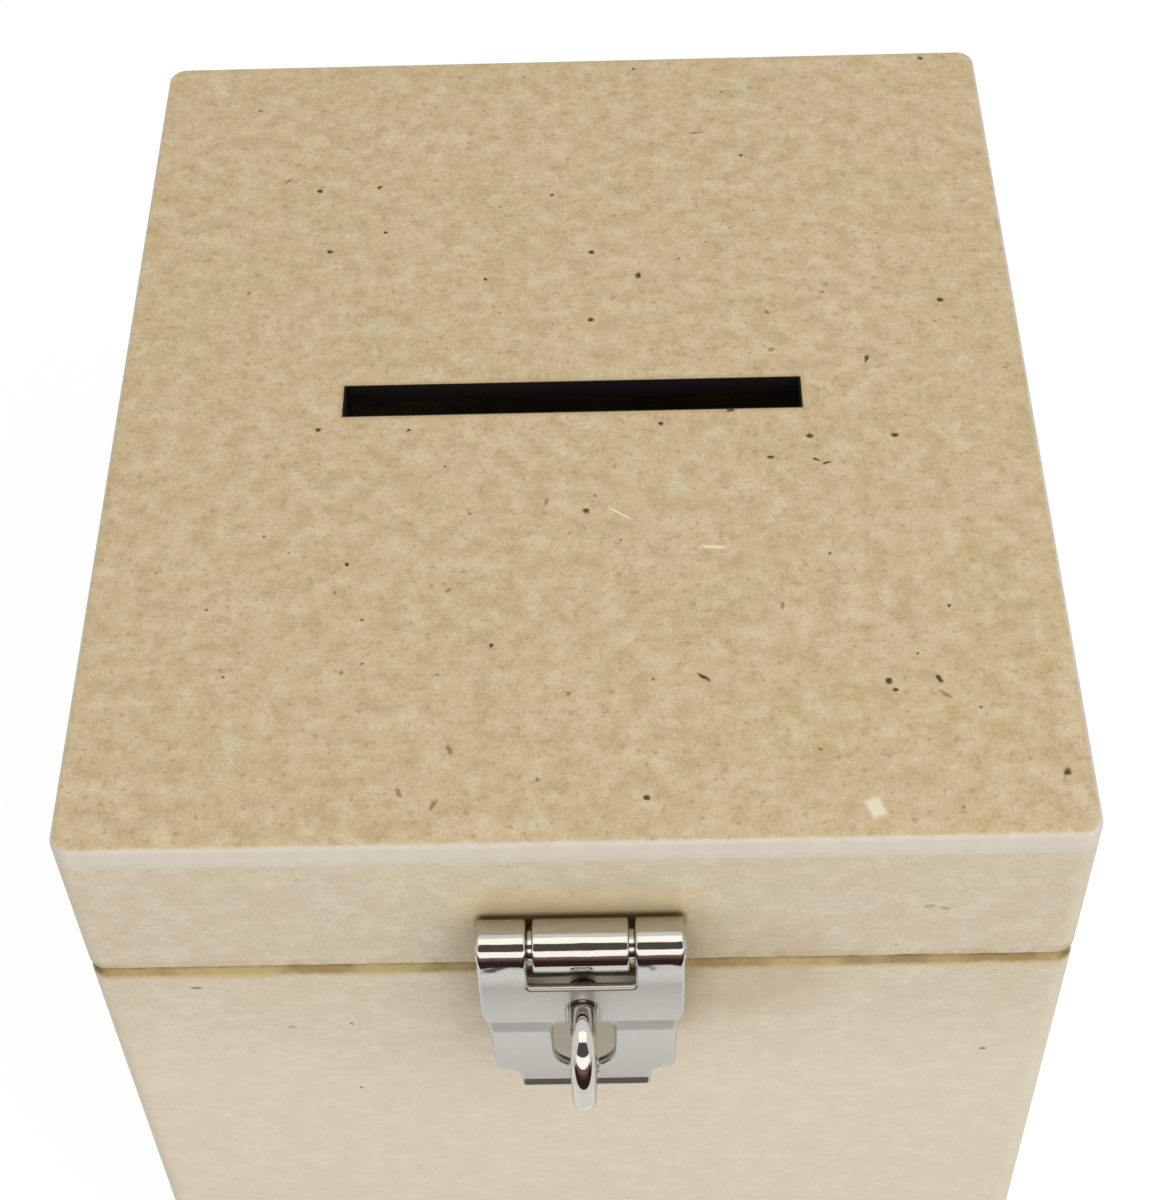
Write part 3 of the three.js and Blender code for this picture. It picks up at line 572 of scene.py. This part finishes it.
# node, its body, its edges, which corners are the box's own, its finish
boards = [
    ("bottom_board", "box", "bottom", (1, 1, 1, 1), "flatBoard"),
    ("front_wall", "box", "wall", (1, 1, 0, 0), "frontBoard"),
    ("back_wall", "box", "wall", (0, 0, 1, 1), "frontBoard"),
    ("left_wall", "box", "wall", (0, 0, 0, 0), "sideBoard"),
    ("right_wall", "box", "wall", (0, 0, 0, 0), "sideBoard"),
    ("lid_front_rail", "lid", "rail", (1, 1, 0, 0), "frontBoard"),
    ("lid_back_rail", "lid", "rail", (0, 0, 1, 1), "frontBoard"),
    ("lid_left_rail", "lid", "rail", (0, 0, 0, 0), "sideBoard"),
    ("lid_right_rail", "lid", "rail", (0, 0, 0, 0), "sideBoard"),
    ("lid_top_board", "lid", "top", (1, 1, 1, 1), "lid"),
]


def planOutline(low, high, radii, step):
    # anticlockwise from the corner at the lowest x and y
    corners = [(low.x, low.y), (high.x, low.y), (high.x, high.y), (low.x, high.y)]
    towards = [(1, 1), (-1, 1), (-1, -1), (1, -1)]
    centres = [Vector(corners[i]) + Vector(towards[i]) * radii[i] for i in range(4)]
    points = []
    for i in range(4):
        steps = 10 if radii[i] > 1 else 2
        for k in range(steps + 1):
            angle = math.pi * (1 + i / 2) + quarter * k / steps
            points.append(centres[i] + Vector((math.cos(angle), math.sin(angle))) * radii[i])
        after = (i + 1) % 4
        turned = math.pi * (1 + after / 2)
        start = points[-1]
        end = centres[after] + Vector((math.cos(turned), math.sin(turned))) * radii[after]
        count = max(1, round((end - start).length / step))
        points += [start.lerp(end, k / count) for k in range(1, count)]
    return points


def outsideNormal(point):
    # outward direction of the box where a point lies on its outside, and nothing elsewhere
    dx = max(abs(point.x) - halfWidth + boxCorner, 0)
    dy = max(abs(point.y) - halfDepth + boxCorner, 0)
    reach = math.hypot(dx, dy)
    if reach < boxCorner - 0.2:
        return Vector((0, 0))
    return Vector((math.copysign(dx, point.x), math.copysign(dy, point.y))) / reach


def stackBoard(outline, levels, hole):
    points = []
    rings = []
    holeRings = []
    for z, inset, chipping in levels:
        ring = []
        for point in outline:
            grain = Vector((point.x, point.y, z * 0.5)) / boardCut["chipLength"]
            chip = (0.5 + 0.5 * noise.noise(grain) + 0.35 * noise.noise(grain * 3.1)) * chipping
            ring.append(point - outsideNormal(point) * (inset + max(chip, 0) * boardCut["chip"]))
        for loop, numbers in ((ring, rings), (hole, holeRings)):
            numbers.append(list(range(len(points), len(points) + len(loop))))
            points += [Vector((p.x, p.y, z)) for p in loop]
    faces = ringFaces(rings) + ringFaces(holeRings)
    for level in (0, -1):
        flat = rings[level] + holeRings[level]
        if hole:
            loops = [[points[i] for i in loop] for loop in (rings[level], holeRings[level])]
            faces += [[flat[i] for i in triangle] for triangle in tessellate_polygon(loops)]
        else:
            faces.append(flat)
    return makeMesh(points, faces, 40)


def slotOutline():
    half = Vector((ballotSlot["length"] / 2, ballotSlot["width"] / 2))
    points = planOutline(-half, half, [ballotSlot["corner"]] * 4, ballotSlot["step"])
    swing, length = ballotSlot["waver"], ballotSlot["waverLength"]
    return [p + p.normalized() * swing * (noise.noise(Vector((p.x, p.y, 0)) / length) - 1) for p in points]


for node, body, edges, rounded, finish in boards:
    low, high = nodeBox(node)
    radii = [boxCorner if corner else boardCut["arris"] for corner in rounded]
    levels = [(face + z, inset, chip) for face, edge in zip((low.z, high.z), boardEdges[edges])
              for z, inset, chip in edge]
    outline = planOutline(low, high, radii, boardCut["step"])
    mesh = stackBoard(outline, levels, slotOutline() if edges == "top" else [])
    addPiece(node, mesh, body, finish)
print("boards cut:", len(boards))


# Sheet metal: a flat pattern bent along a path, with rounded edges and true normals
def layPath(start, heading, runs):
    # runs are a length for a straight or a radius and a turn in degrees, anticlockwise positive
    path = []
    place = Vector(start)
    angle = math.radians(heading)
    travelled = 0.0
    for run in runs:
        length, curve = run, 0.0
        if isinstance(run, tuple):
            turn = math.radians(run[1])
            length = run[0] * abs(turn)
            curve = math.copysign(1 / run[0], turn)
        path.append({"from": travelled, "place": place, "angle": angle, "curve": curve, "length": length})
        travelled += length
        place, angle = followPath(path, travelled)
    return path


def followPath(path, distance):
    run = path[0]
    for later in path:
        if later["from"] <= distance + 1e-9:
            run = later
    ahead = distance - run["from"]
    angle = run["angle"] + ahead * run["curve"]
    if run["curve"] == 0:
        return run["place"] + ahead * Vector((math.cos(angle), math.sin(angle))), angle
    radius = 1 / run["curve"]
    centre = run["place"] + radius * Vector((-math.sin(run["angle"]), math.cos(run["angle"])))
    return centre + radius * Vector((math.sin(angle), -math.cos(angle))), angle


def pathEnd(path):
    return path[-1]["from"] + path[-1]["length"]


def pathDistance(path, drop):
    # distance along the stretches after the roll at which the sheet is this far below the pin
    low = path[1]["from"]
    high = pathEnd(path)
    for _ in range(40):
        middle = (low + high) / 2
        if followPath(path, middle)[0].y < drop:
            low = middle
        else:
            high = middle
    return low


def roundOutline(points):
    # points are x, y and a corner radius
    rounded = []
    count = len(points)
    for i in range(count):
        here = Vector(points[i][:2])
        radius = points[i][2]
        if radius == 0:
            rounded.append(here)
            continue
        before = (Vector(points[i - 1][:2]) - here).normalized()
        after = (Vector(points[(i + 1) % count][:2]) - here).normalized()
        half = before.angle(after) / 2
        reach = radius / math.tan(half)
        centre = here + (before + after).normalized() * radius / math.sin(half)
        start = here + before * reach - centre
        sweep = start.angle_signed(here + after * reach - centre)
        steps = max(2, round(abs(sweep) * 6))
        for k in range(steps + 1):
            turned = start.copy()
            turned.rotate(Matrix.Rotation(-sweep * k / steps, 2))
            rounded.append(centre + turned)
    return rounded


def circleOutline(x, y, radius, steps=28):
    return [Vector((x + radius * math.cos(math.tau * k / steps), y + radius * math.sin(math.tau * k / steps)))
            for k in range(steps)]


def mirrored(points):
    return [(-x, distance, radius) for x, distance, radius in reversed(points)]


def quarterTurns(steps):
    return [quarter * k / steps for k in range(steps + 1)]


def refineLoop(loop, step):
    fine = []
    for here, there in zip(loop, loop[1:] + loop[:1]):
        count = max(1, math.ceil((there - here).length / step))
        fine += [here.lerp(there, k / count) for k in range(count)]
    return fine


def turnLoop(loop, anticlockwise):
    area = sum(a.x * b.y - b.x * a.y for a, b in zip(loop, loop[1:] + loop[:1]))
    return loop if (area > 0) == anticlockwise else loop[::-1]


def loopNormals(loop):
    # mitred outward direction at each point, for metal on the left of the loop
    normals = []
    for i, here in enumerate(loop):
        into = (here - loop[i - 1]).normalized()
        out = (loop[(i + 1) % len(loop)] - here).normalized()
        first = Vector((into.y, -into.x))
        second = Vector((out.y, -out.x))
        normals.append((first + second) / max(1 + first.dot(second), 0.5))
    return normals


def insideLoops(points, loops):
    points = np.asarray(points, float)
    inside = np.zeros(len(points), bool)
    for loop in loops:
        for here, there in zip(loop, loop[1:] + loop[:1]):
            if here.y == there.y:
                continue
            crosses = (here.y > points[:, 1]) != (there.y > points[:, 1])
            reach = here.x + (points[:, 1] - here.y) * (there.x - here.x) / (there.y - here.y)
            inside ^= crosses & (points[:, 0] < reach)
    return inside


sheetGrid = {"bent": 0.3, "straight": 1.4, "across": 0.9, "rim": 0.4, "clear": 0.3}  # mm between points


def sheetLines(path):
    # distances at which a bent sheet needs a row of points
    rows = []
    for run in path:
        step = sheetGrid["bent" if run["curve"] else "straight"]
        count = max(1, math.ceil(run["length"] / step))
        rows += [run["from"] + run["length"] * k / count for k in range(count)]
    return rows


acrossBox = Vector((1, 0, 0))
towardsFront = Vector((0, -1, 0))
towardsBack = Vector((0, 1, 0))
downwards = Vector((0, 0, -1))


def pressSheet(path, outline, holes, thickness, soft, origin, outward=towardsFront, along=downwards):
    # soft is the rounding of the sheet's edges
    half = thickness / 2
    loops = [turnLoop(refineLoop(outline, sheetGrid["rim"]), True)]
    loops += [turnLoop(refineLoop(hole, sheetGrid["rim"]), False) for hole in holes]
    mitres = [loopNormals(loop) for loop in loops]
    levels = [(soft * (1 - math.cos(a)) - half, soft * (1 - math.sin(a)), -math.cos(a), math.sin(a))
              for a in quarterTurns(3)]
    levels += [(-height, inset, -lift, spread) for height, inset, lift, spread in reversed(levels)]
    places = []
    normals = []

    def addPoint(x, distance, height, sideways, lift):
        point, angle = followPath(path, distance)
        ahead = Vector((math.cos(angle), math.sin(angle)))
        left = Vector((-math.sin(angle), math.cos(angle)))
        spot = point + left * height
        facing = left * lift + ahead * sideways.y
        places.append(origin + acrossBox * x + outward * spot.x + along * spot.y)
        normals.append(acrossBox * sideways.x + outward * facing.x + along * facing.y)
        return len(places) - 1

    faces = []
    rims = {0: [], -1: []}
    for loop, mitre in zip(loops, mitres):
        rings = []
        for height, inset, lift, spread in levels:
            ring = []
            for point, normal in zip(loop, mitre):
                flat = point - normal * inset
                ring.append(addPoint(flat.x, flat.y, height, normal.normalized() * spread, lift))
            rings.append(ring)
        faces += ringFaces(rings)
        for level in rims:
            rims[level] += rings[level]
    inner = [[p - n * soft for p, n in zip(loop, mitre)] for loop, mitre in zip(loops, mitres)]
    border = [p for loop in inner for p in loop]
    left = min(p.x for p in border)
    width = max(p.x for p in border) - left
    count = round(width / sheetGrid["across"])
    grid = np.array([(left + width * k / count, row) for row in sheetLines(path) for k in range(count + 1)])
    clear = np.array([np.min(np.hypot(*(np.array(border) - spot).T)) > sheetGrid["clear"] for spot in grid])
    grid = [Vector(spot) for spot in grid[insideLoops(grid, inner) & clear]]
    edges = []
    base = 0
    for loop in inner:
        edges += [(base + i, base + (i + 1) % len(loop)) for i in range(len(loop))]
        base += len(loop)
    flatPoints, _, triangles, origins, _, _ = delaunay_2d_cdt(border + grid, edges, [], 0, 1e-6)
    middles = [sum((flatPoints[i] for i in triangle), Vector((0, 0))) / 3 for triangle in triangles]
    kept = insideLoops(middles, inner)
    for level, lift in ((0, -1), (-1, 1)):
        height = levels[level][0]
        known = rims[level] + [addPoint(p.x, p.y, height, Vector((0, 0)), lift) for p in grid]
        for triangle, keep in zip(triangles, kept):
            if keep:
                corners = [known[origins[i][0]] for i in triangle]
                faces.append(corners if lift > 0 else corners[::-1])
    mesh = makeMesh(places, faces)
    mesh.normals_split_custom_set_from_vertices([n.normalized() for n in normals])
    return mesh


# Hasp: flap with two rolled knuckles, and the leaf that it hangs from
hasp = {
    "half": 12.2, "sheet": 1.1, "bore": 2.1, "edge": 0.5,  # mm
    "notch": 6.3, "notchDrop": 3.9, "notchCorner": 0.5, "curl": 300,  # mm, and degrees of roll
    "bow": 8.5, "joggleDrop": 10.9, "joggleDepth": 0.28, "joggleRadius": 1.4, "joggleTurn": 8.5,
    "lean": 3.0, "sweep": 11.0,  # degrees, how the lower part leans in and sweeps out again
    "waist": 11.25, "waistFrom": 9.0, "waistTo": 13.0, "lowHalf": 11.1, "lowLeft": 10.9,
    "scallopTop": 21.8, "scallop": 2.35, "land": 0.7, "corner": 0.6,
    "lipDrop": 23.8, "lip": 1.25, "lipTurn": 26, "lipRadius": 0.7,
    "windowHalf": 3.7, "windowTop": 11.6, "windowMiddle": 17.5, "windowCorner": 0.8,
    "slotHalf": 1.62, "slotTop": 6.39, "slotLow": 23.2,
}


def rolledStart(radius, curl, side):
    # a roll that ends level with the pin, on its front or back
    angle = math.radians(curl)
    return (side * radius * math.cos(angle), -radius * math.sin(angle)), 90 + side * (360 - curl)


def flapPath():
    radius = hasp["bore"] + hasp["sheet"] / 2
    start, heading = rolledStart(radius, hasp["curl"], 1)
    bow, turn, sweep = (math.radians(hasp[key]) for key in ("bow", "joggleTurn", "sweep"))
    upper = (hasp["joggleDrop"] + radius * math.sin(bow)) / math.sin(bow)
    slope = (hasp["joggleDepth"] - 2 * hasp["joggleRadius"] * (1 - math.cos(turn))) / math.sin(turn)
    joggle = 2 * hasp["joggleRadius"] * math.sin(turn) + slope * math.cos(turn)
    lower = (hasp["lipDrop"] - hasp["joggleDrop"] - joggle) / sweep
    return layPath(start, heading, [
        (radius, hasp["curl"] - hasp["bow"]),
        (upper, hasp["bow"]),
        (hasp["joggleRadius"], -hasp["joggleTurn"]),
        slope,
        (hasp["joggleRadius"], hasp["joggleTurn"] + hasp["lean"]),
        (lower, -hasp["sweep"]),
        (hasp["lipRadius"], hasp["sweep"] - hasp["lean"] - hasp["lipTurn"]),
        hasp["lip"],
    ])


def flapSide(path, lowHalf):
    points = [(hasp["notch"], pathDistance(path, hasp["notchDrop"]), hasp["notchCorner"]),
              (hasp["notch"], 0, hasp["corner"]), (hasp["half"], 0, hasp["corner"])]
    for k in range(13):
        share = k / 12
        drop = hasp["waistFrom"] + (hasp["waistTo"] - hasp["waistFrom"]) * share
        ease = share * share * (3 - 2 * share)
        points.append((hasp["half"] - (hasp["half"] - hasp["waist"]) * ease, pathDistance(path, drop), 0))
    points.append((lowHalf, pathDistance(path, hasp["scallopTop"]), hasp["corner"]))
    scallop = hasp["scallop"]
    x = lowHalf - hasp["land"]
    distance = pathDistance(path, hasp["scallopTop"] + scallop)
    points += [(x - scallop * math.sin(a), distance - scallop * math.cos(a), 0) for a in quarterTurns(8)]
    return points + [(x - scallop, pathEnd(path), hasp["corner"])]


def flapKeyhole(path):
    slot = hasp["slotHalf"]
    wide = hasp["windowHalf"]
    top, windowTop, middle, low = (pathDistance(path, drop) for drop in (
        hasp["slotTop"] + slot, hasp["windowTop"], hasp["windowMiddle"], hasp["slotLow"] - slot))
    meet = math.asin(slot / wide)
    right = [(slot * math.sin(a), top - slot * math.cos(a), 0) for a in quarterTurns(8)]
    right += [(slot, windowTop, hasp["corner"]), (wide, windowTop, hasp["windowCorner"])]
    for k in range(13):
        angle = (quarter - meet) * k / 12
        right.append((wide * math.cos(angle), middle + wide * math.sin(angle), 0))
    right += [(slot * math.cos(a), low + slot * math.sin(a), 0) for a in quarterTurns(8)]
    return roundOutline(right + mirrored(right[1:-1]))


path = flapPath()
outline = roundOutline(flapSide(path, hasp["lowHalf"]) + mirrored(flapSide(path, hasp["lowLeft"])))
mesh = pressSheet(path, outline, [flapKeyhole(path)], hasp["sheet"], hasp["edge"], haspAxis)
addPiece("hasp_flap", mesh, "flap", "sheetChrome")
print("hasp flap pressed")


def pressLeaf(leaf, origin, outward, along):
    # a plate on the wall with one or two knuckles rolled from it
    radius = leaf["bore"] + leaf["sheet"] / 2
    start, heading = rolledStart(radius, leaf["curl"], -1)
    ease = math.radians(leaf["ease"])
    slope = (leaf["standoff"] - 2 * leaf["sheet"] * (1 - math.cos(ease))) / math.sin(ease)
    shift = 2 * leaf["sheet"] * math.sin(ease) + slope * math.cos(ease)
    path = layPath(start, heading, [
        (radius, -leaf["curl"]), leaf["plateFrom"] - shift,
        (leaf["sheet"], leaf["ease"]), slope, (leaf["sheet"], -leaf["ease"]),
        leaf["plateTo"] - leaf["plateFrom"],
    ])
    total = pathEnd(path)
    plateFrom = pathDistance(path, leaf["plateFrom"])
    half = leaf["plateHalf"]
    inner, outer = leaf["knuckle"]
    tip = leaf["tip"]
    corner = leaf["corner"]
    if inner == 0:
        right = [(outer, 0, tip), (outer, plateFrom, tip), (half, plateFrom, leaf["shoulder"])]
        right.append((half, total, corner))
        outline = mirrored(right) + right
    else:
        right = [(inner, plateFrom, tip), (inner, 0, tip), (outer, 0, tip), (outer, total, corner)]
        outline = right + mirrored(right)
    screwAt = pathDistance(path, leaf["screwDrop"])
    holes = [circleOutline(side * leaf["screwX"], screwAt, leaf["hole"]) for side in (-1, 1)]
    return pressSheet(path, roundOutline(outline), holes, leaf["sheet"], leaf["edge"], origin, outward, along)


haspLeaf = {
    "bore": 2.1, "sheet": 1.1, "edge": 0.35, "standoff": 0.15, "corner": 0.8, "tip": 0.5,  # mm
    "plateFrom": 3.6, "plateTo": 8.6, "plateHalf": 10.0, "knuckle": (0, 5.7), "shoulder": 0.6,
    "screwDrop": 6.1, "screwX": 7.0, "hole": 1.15,
    "curl": 300, "ease": 9,  # degrees of roll and of the step to the wall
}
mesh = pressLeaf(haspLeaf, haspAxis, towardsFront, downwards)
addPiece("hasp_lid_leaf", mesh, "lid", "sheetChrome")


# Staple: a flat plate on the box, and an eye bent from one wire
staplePlate = {"width": 19.0, "height": 21.5, "sheet": 1.1, "edge": 0.25, "corner": 1.6,  # mm
               "screwX": 6.5, "hole": 1.15, "legRoom": 0.15}
stapleEye = {"wire": 3.0, "ring": 5.2, "reach": 9.5, "stretch": 2.3, "leg": 1.8, "bend": 2.2,  # mm
             "sides": 28, "step": 0.45}
plateLow, plateHigh = nodeBox("staple_plate")
screwLow, screwHigh = nodeBox("staple_screw_left")
eyeCentre = Vector((haspAxis.x, plateHigh.y, (screwLow.z + screwHigh.z) / 2))  # level with the screws


def pressStaplePlate():
    half = staplePlate["width"] / 2
    tall = staplePlate["height"]
    corner = staplePlate["corner"]
    hole = stapleEye["wire"] / 2 + staplePlate["legRoom"]
    middle = Vector((haspAxis.x, plateHigh.y, (plateLow.z + plateHigh.z) / 2))
    centre = middle.z - eyeCentre.z + tall / 2
    legs = [(hole * math.sin(a), centre - stapleEye["leg"] - hole * math.cos(a)) for a in
            [quarter * (k / 8 - 1) for k in range(17)]]
    legs += [(-x, 2 * centre - y) for x, y in legs]
    outline = [(-half, 0, corner), (half, 0, corner), (half, tall, corner), (-half, tall, corner)]
    holes = [[Vector(leg) for leg in legs]]
    holes += [circleOutline(side * staplePlate["screwX"], centre, staplePlate["hole"]) for side in (-1, 1)]
    path = layPath((staplePlate["sheet"] / 2, -tall / 2), 90, [tall])
    return pressSheet(path, roundOutline(outline), holes, staplePlate["sheet"], staplePlate["edge"], middle)


addPiece("staple_plate", pressStaplePlate(), "box", "shadedPlateChrome")


def eyePath():
    # out along the upper leg, round the ring and back along the lower leg
    reach = stapleEye["ring"] + stapleEye["bend"]
    rise = stapleEye["leg"] + stapleEye["bend"]
    flares = [math.asin((rise - shift) / reach) for shift in (stapleEye["stretch"], 0)]
    upper, lower = (stapleEye["reach"] - reach * math.cos(flare) for flare in flares)
    upperTurn, lowerTurn = (math.degrees(quarter - flare) for flare in flares)
    return layPath((0, stapleEye["leg"]), 0, [
        upper, (stapleEye["bend"], upperTurn), (stapleEye["ring"], -upperTurn - 90),
        stapleEye["stretch"],
        (stapleEye["ring"], -lowerTurn - 90), (stapleEye["bend"], lowerTurn), lower,
    ])


def bendWire(path, wire):
    total = pathEnd(path)
    count = round(total / wire["step"])
    radius = wire["wire"] / 2
    rings = []
    for k in range(count + 1):
        point, angle = followPath(path, total * k / count)
        ring = []
        for i in range(wire["sides"]):
            turn = math.tau * i / wire["sides"]
            spot = point + Vector((-math.sin(angle), math.cos(angle))) * radius * math.sin(turn)
            ring.append(eyeCentre + Vector((radius * math.cos(turn), -spot.x, spot.y)))
        rings.append(ring)
    return closedTube(rings, 60)


addPiece("staple_loop", bendWire(eyePath(), stapleEye), "box", "wireChrome")
print("staple made")


# Turned pieces: pins along X with domed ends, and cross-recessed screws
pin = {"sides": 40, "flat": 0.55}  # flat is the share of the radius that the dome leaves at its end


def turnPin(node, dome):
    low, high = nodeBox(node)
    centre = (low + high) / 2
    radius = (high.z - low.z) / 2
    end = (high.x - low.x) / 2
    flat = pin["flat"]
    profile = [(end - dome * (1 - math.cos(a)), radius * (flat + (1 - flat) * math.sin(a)))
               for a in quarterTurns(6)]
    profile += [(-x, r) for x, r in reversed(profile)]
    turns = [math.tau * i / pin["sides"] for i in range(pin["sides"])]
    return closedTube([[centre + Vector((x, r * math.cos(turn), r * math.sin(turn))) for turn in turns]
                       for x, r in profile], 50)


addPiece("hasp_pin", turnPin("hasp_pin", 0.3), "lid", "wireChrome")

screw = {
    "head": 1.8, "headEdge": 0.25, "headHeight": 0.8, "shank": 0.9, "length": 4.5, "point": 1.8,  # mm
    "chamfer": 0.05, "recessArm": 1.15, "recessHalf": 0.26, "recessDepth": 0.42, "recessSlope": 0.09,
    "sides": 72, "rounds": 26, "rim": 0.3,  # rim is the share of the rounds at the dome's edge
}


def headHeight(x, y):
    # dome of the head with its crossed recess
    dome = screw["headHeight"] - screw["headEdge"]
    z = screw["headEdge"] + dome * math.sqrt(max(0, 1 - (math.hypot(x, y) / screw["head"]) ** 2))
    depths = []
    for along, across in ((abs(x), abs(y)), (abs(y), abs(x))):
        inside = min(screw["recessArm"] - along, screw["recessHalf"] - across)
        depths.append(min(max(inside / screw["recessSlope"], 0), 1))
    return z - screw["recessDepth"] * max(depths)


def screwMesh():
    # along Z with the underside of the head at zero
    head, shank, length, chamfer, rim = (screw[key] for key in ("head", "shank", "length", "chamfer", "rim"))
    profile = [(chamfer, -length), (shank, -length + screw["point"]), (shank, 0),
               (head - chamfer, 0), (head, chamfer), (head, screw["headEdge"])]
    for k in range(1, screw["rounds"]):
        share = k / screw["rounds"]
        inner = math.cos(quarter * rim) * (1 - share) / (1 - rim)
        profile.append((head * (math.cos(quarter * share) if share < rim else inner), None))
    rings = []
    for radius, height in profile:
        ring = []
        for i in range(screw["sides"]):
            x = radius * math.cos(math.tau * i / screw["sides"])
            y = radius * math.sin(math.tau * i / screw["sides"])
            ring.append(Vector((x, y, headHeight(x, y) if height is None else height)))
        rings.append(ring)
    return closedTube(rings, 42)


def driveScrew(node, body, finish, outward, turn):
    low, high = nodeBox(node)
    seat = low.y + screw["headHeight"] if outward < 0 else high.y - screw["headHeight"]
    mesh = screwMesh()
    tilt = Matrix.Rotation(-outward * quarter, 4, "X") @ Matrix.Rotation(math.radians(turn), 4, "Z")
    seatPlace = Matrix.Translation(Vector(((low.x + high.x) / 2, seat, (low.z + high.z) / 2)) * mm)
    mesh.transform(seatPlace @ tilt)
    addPiece(node, mesh, body, finish)


for i, side in enumerate(("left", "right")):
    driveScrew(f"hasp_screw_{side}", "lid", "sheetChrome", -1, 17 + 38 * i)
    driveScrew(f"staple_screw_{side}", "box", "sheetChrome", -1, 52 - 31 * i)
    for k, place in enumerate(("inner", "outer")):
        driveScrew(f"hinge_{side}_lid_screw_{place}", "lid", "zinc", 1, 11 + 33 * i + 24 * k)
        driveScrew(f"hinge_{side}_body_screw_{place}", "box", "zinc", 1, 40 - 17 * i + 29 * k)
print("screws driven")


# Butt hinges at the back: the lid leaf has the middle knuckle, the body leaf the outer two
hingeLeaf = {
    "bore": 1.0, "sheet": 0.9, "edge": 0.2, "standoff": 0.15, "corner": 0.7, "tip": 0.3,  # mm
    "plateFrom": 2.3, "plateTo": 9.0, "plateHalf": 11.0, "shoulder": 0.6,
    "screwDrop": 5.6, "screwX": 6.5, "hole": 1.15,
    "curl": 300, "ease": 9,  # degrees
}
for side in ("left", "right"):
    pinLow, pinHigh = nodeBox(f"hinge_{side}_pin")
    hingeAxis = (pinLow + pinHigh) / 2
    for part, body, knuckle, along in (
            ("lid", "lid", (0, 4.0), -downwards), ("body", "box", (4.4, 11.0), downwards)):
        mesh = pressLeaf({**hingeLeaf, "knuckle": knuckle}, hingeAxis, towardsBack, along)
        addPiece(f"hinge_{side}_{part}_leaf", mesh, body, "zinc")
    addPiece(f"hinge_{side}_pin", turnPin(f"hinge_{side}_pin", 0.25), "box", "zinc")
print("hinges hung")


# Stage: a white floor that keeps a soft shadow, soft lamps, and cards that only the chrome sees
stage = {"floor": 4.0, "floorTone": 0.9, "floorGlow": 1.05, "floorShare": 0.85,
         "ambient": 0.5, "overhead": 5.8, "key": 6.6, "fill": 3.2}


def seenDirectly(tree):
    rays = addNode(tree, "LightPath").node.outputs
    return joinMasks(tree, [rays[f"Is {kind} Ray"] for kind in ("Camera", "Glossy", "Transmission")])


def addStagePiece(name, corners, material, metalOnly=False):
    mesh = bpy.data.meshes.new(name)
    mesh.from_pydata(corners, [], [(0, 1, 2, 3)])
    mesh.materials.append(material)
    piece = bpy.data.objects.new(name, mesh)
    scene.collection.objects.link(piece)
    if metalOnly:
        piece.visible_camera = False
        piece.visible_diffuse = False
        piece.visible_shadow = False
        piece.visible_transmission = False


def layFloor():
    material, tree = startMaterial("paperSweep")
    share = addNode(tree, "Math", [seenDirectly(tree), stage["floorShare"]], operation="MULTIPLY")
    matte = addNode(tree, "BsdfDiffuse", {"Color": (*[stage["floorTone"]] * 3, 1)})
    glow = addNode(tree, "Emission", {"Color": (1, 1, 1, 1), "Strength": stage["floorGlow"]})
    mixed = addNode(tree, "MixShader", [share, matte, glow])
    addNode(tree, "OutputMaterial", {"Surface": mixed})
    addStagePiece("floor", flatCard(0, -stage["floor"], stage["floor"], stage["floor"])[::-1], material)


def lightRoom():
    world = bpy.data.worlds.new("plainRoom")
    world.use_nodes = True
    tree = world.node_tree
    tree.nodes.clear()
    level = addNode(tree, "MapRange", {
        "Value": seenDirectly(tree), "To Min": stage["ambient"], "To Max": 1.0})
    sky = addNode(tree, "Background", {"Color": (1, 1, 1, 1), "Strength": level})
    addNode(tree, "OutputWorld", {"Surface": sky})
    scene.world = world


def hangLamp(name, place, aim, size, energy):
    lamp = bpy.data.objects.new(name, bpy.data.lights.new(name, "AREA"))
    lamp.data.size = size
    lamp.data.energy = energy
    lamp.location = place
    lamp.rotation_euler = (Vector(aim) - Vector(place)).to_track_quat("-Z", "Y").to_euler()
    lamp.visible_glossy = False
    scene.collection.objects.link(lamp)


def hangCard(name, corners, hexColour, strength):
    # a card that shows only in the metal
    material, tree = startMaterial(name)
    glow = addNode(tree, "Emission", {"Color": toLinear(hexColour), "Strength": strength})
    addNode(tree, "OutputMaterial", {"Surface": glow})
    addStagePiece(name, corners, material, metalOnly=True)


def uprightCard(y, low, high, wide):
    return [(-wide, y, low), (wide, y, low), (wide, y, high), (-wide, y, high)]


def flatCard(z, near, far, wide):
    return [(-wide, far, z), (wide, far, z), (wide, near, z), (-wide, near, z)]


layFloor()
lightRoom()
hangLamp("overheadLamp", (-0.05, -0.15, 1.4), (0, 0, 0.1), 1.4, stage["overhead"])
hangLamp("keyLamp", (0.9, -0.7, 1.0), (0, 0, 0.1), 0.8, stage["key"])
hangLamp("frontLamp", (-0.2, -1.3, 0.45), (0, 0, 0.05), 1.0, stage["fill"])
# what stood round the box in its room: ceiling lights, a dark wall, a bright window and a dark table
hangCard("ceilingLights", flatCard(1.15, -0.06, -0.55, 0.8), "#FFFBF2", 1.8)
hangCard("darkWall", uprightCard(-0.55, 0.428, 1.148, 0.85), "#625A5B", 1.0)
hangCard("brightWindow", uprightCard(-0.55, 0.184, 0.428, 0.8), "#FFFBFA", 1.7)
hangCard("darkBench", uprightCard(-0.55, 0.08, 0.184, 0.8), "#8E6C69", 1.0)
hangCard("darkPanel", uprightCard(-0.55, 0.0, 0.08, 0.8), "#614945", 1.0)
hangCard("darkTable", flatCard(0.002, -0.187, -0.55, 0.75), "#3A2D2A", 1.0)
print("stage set")
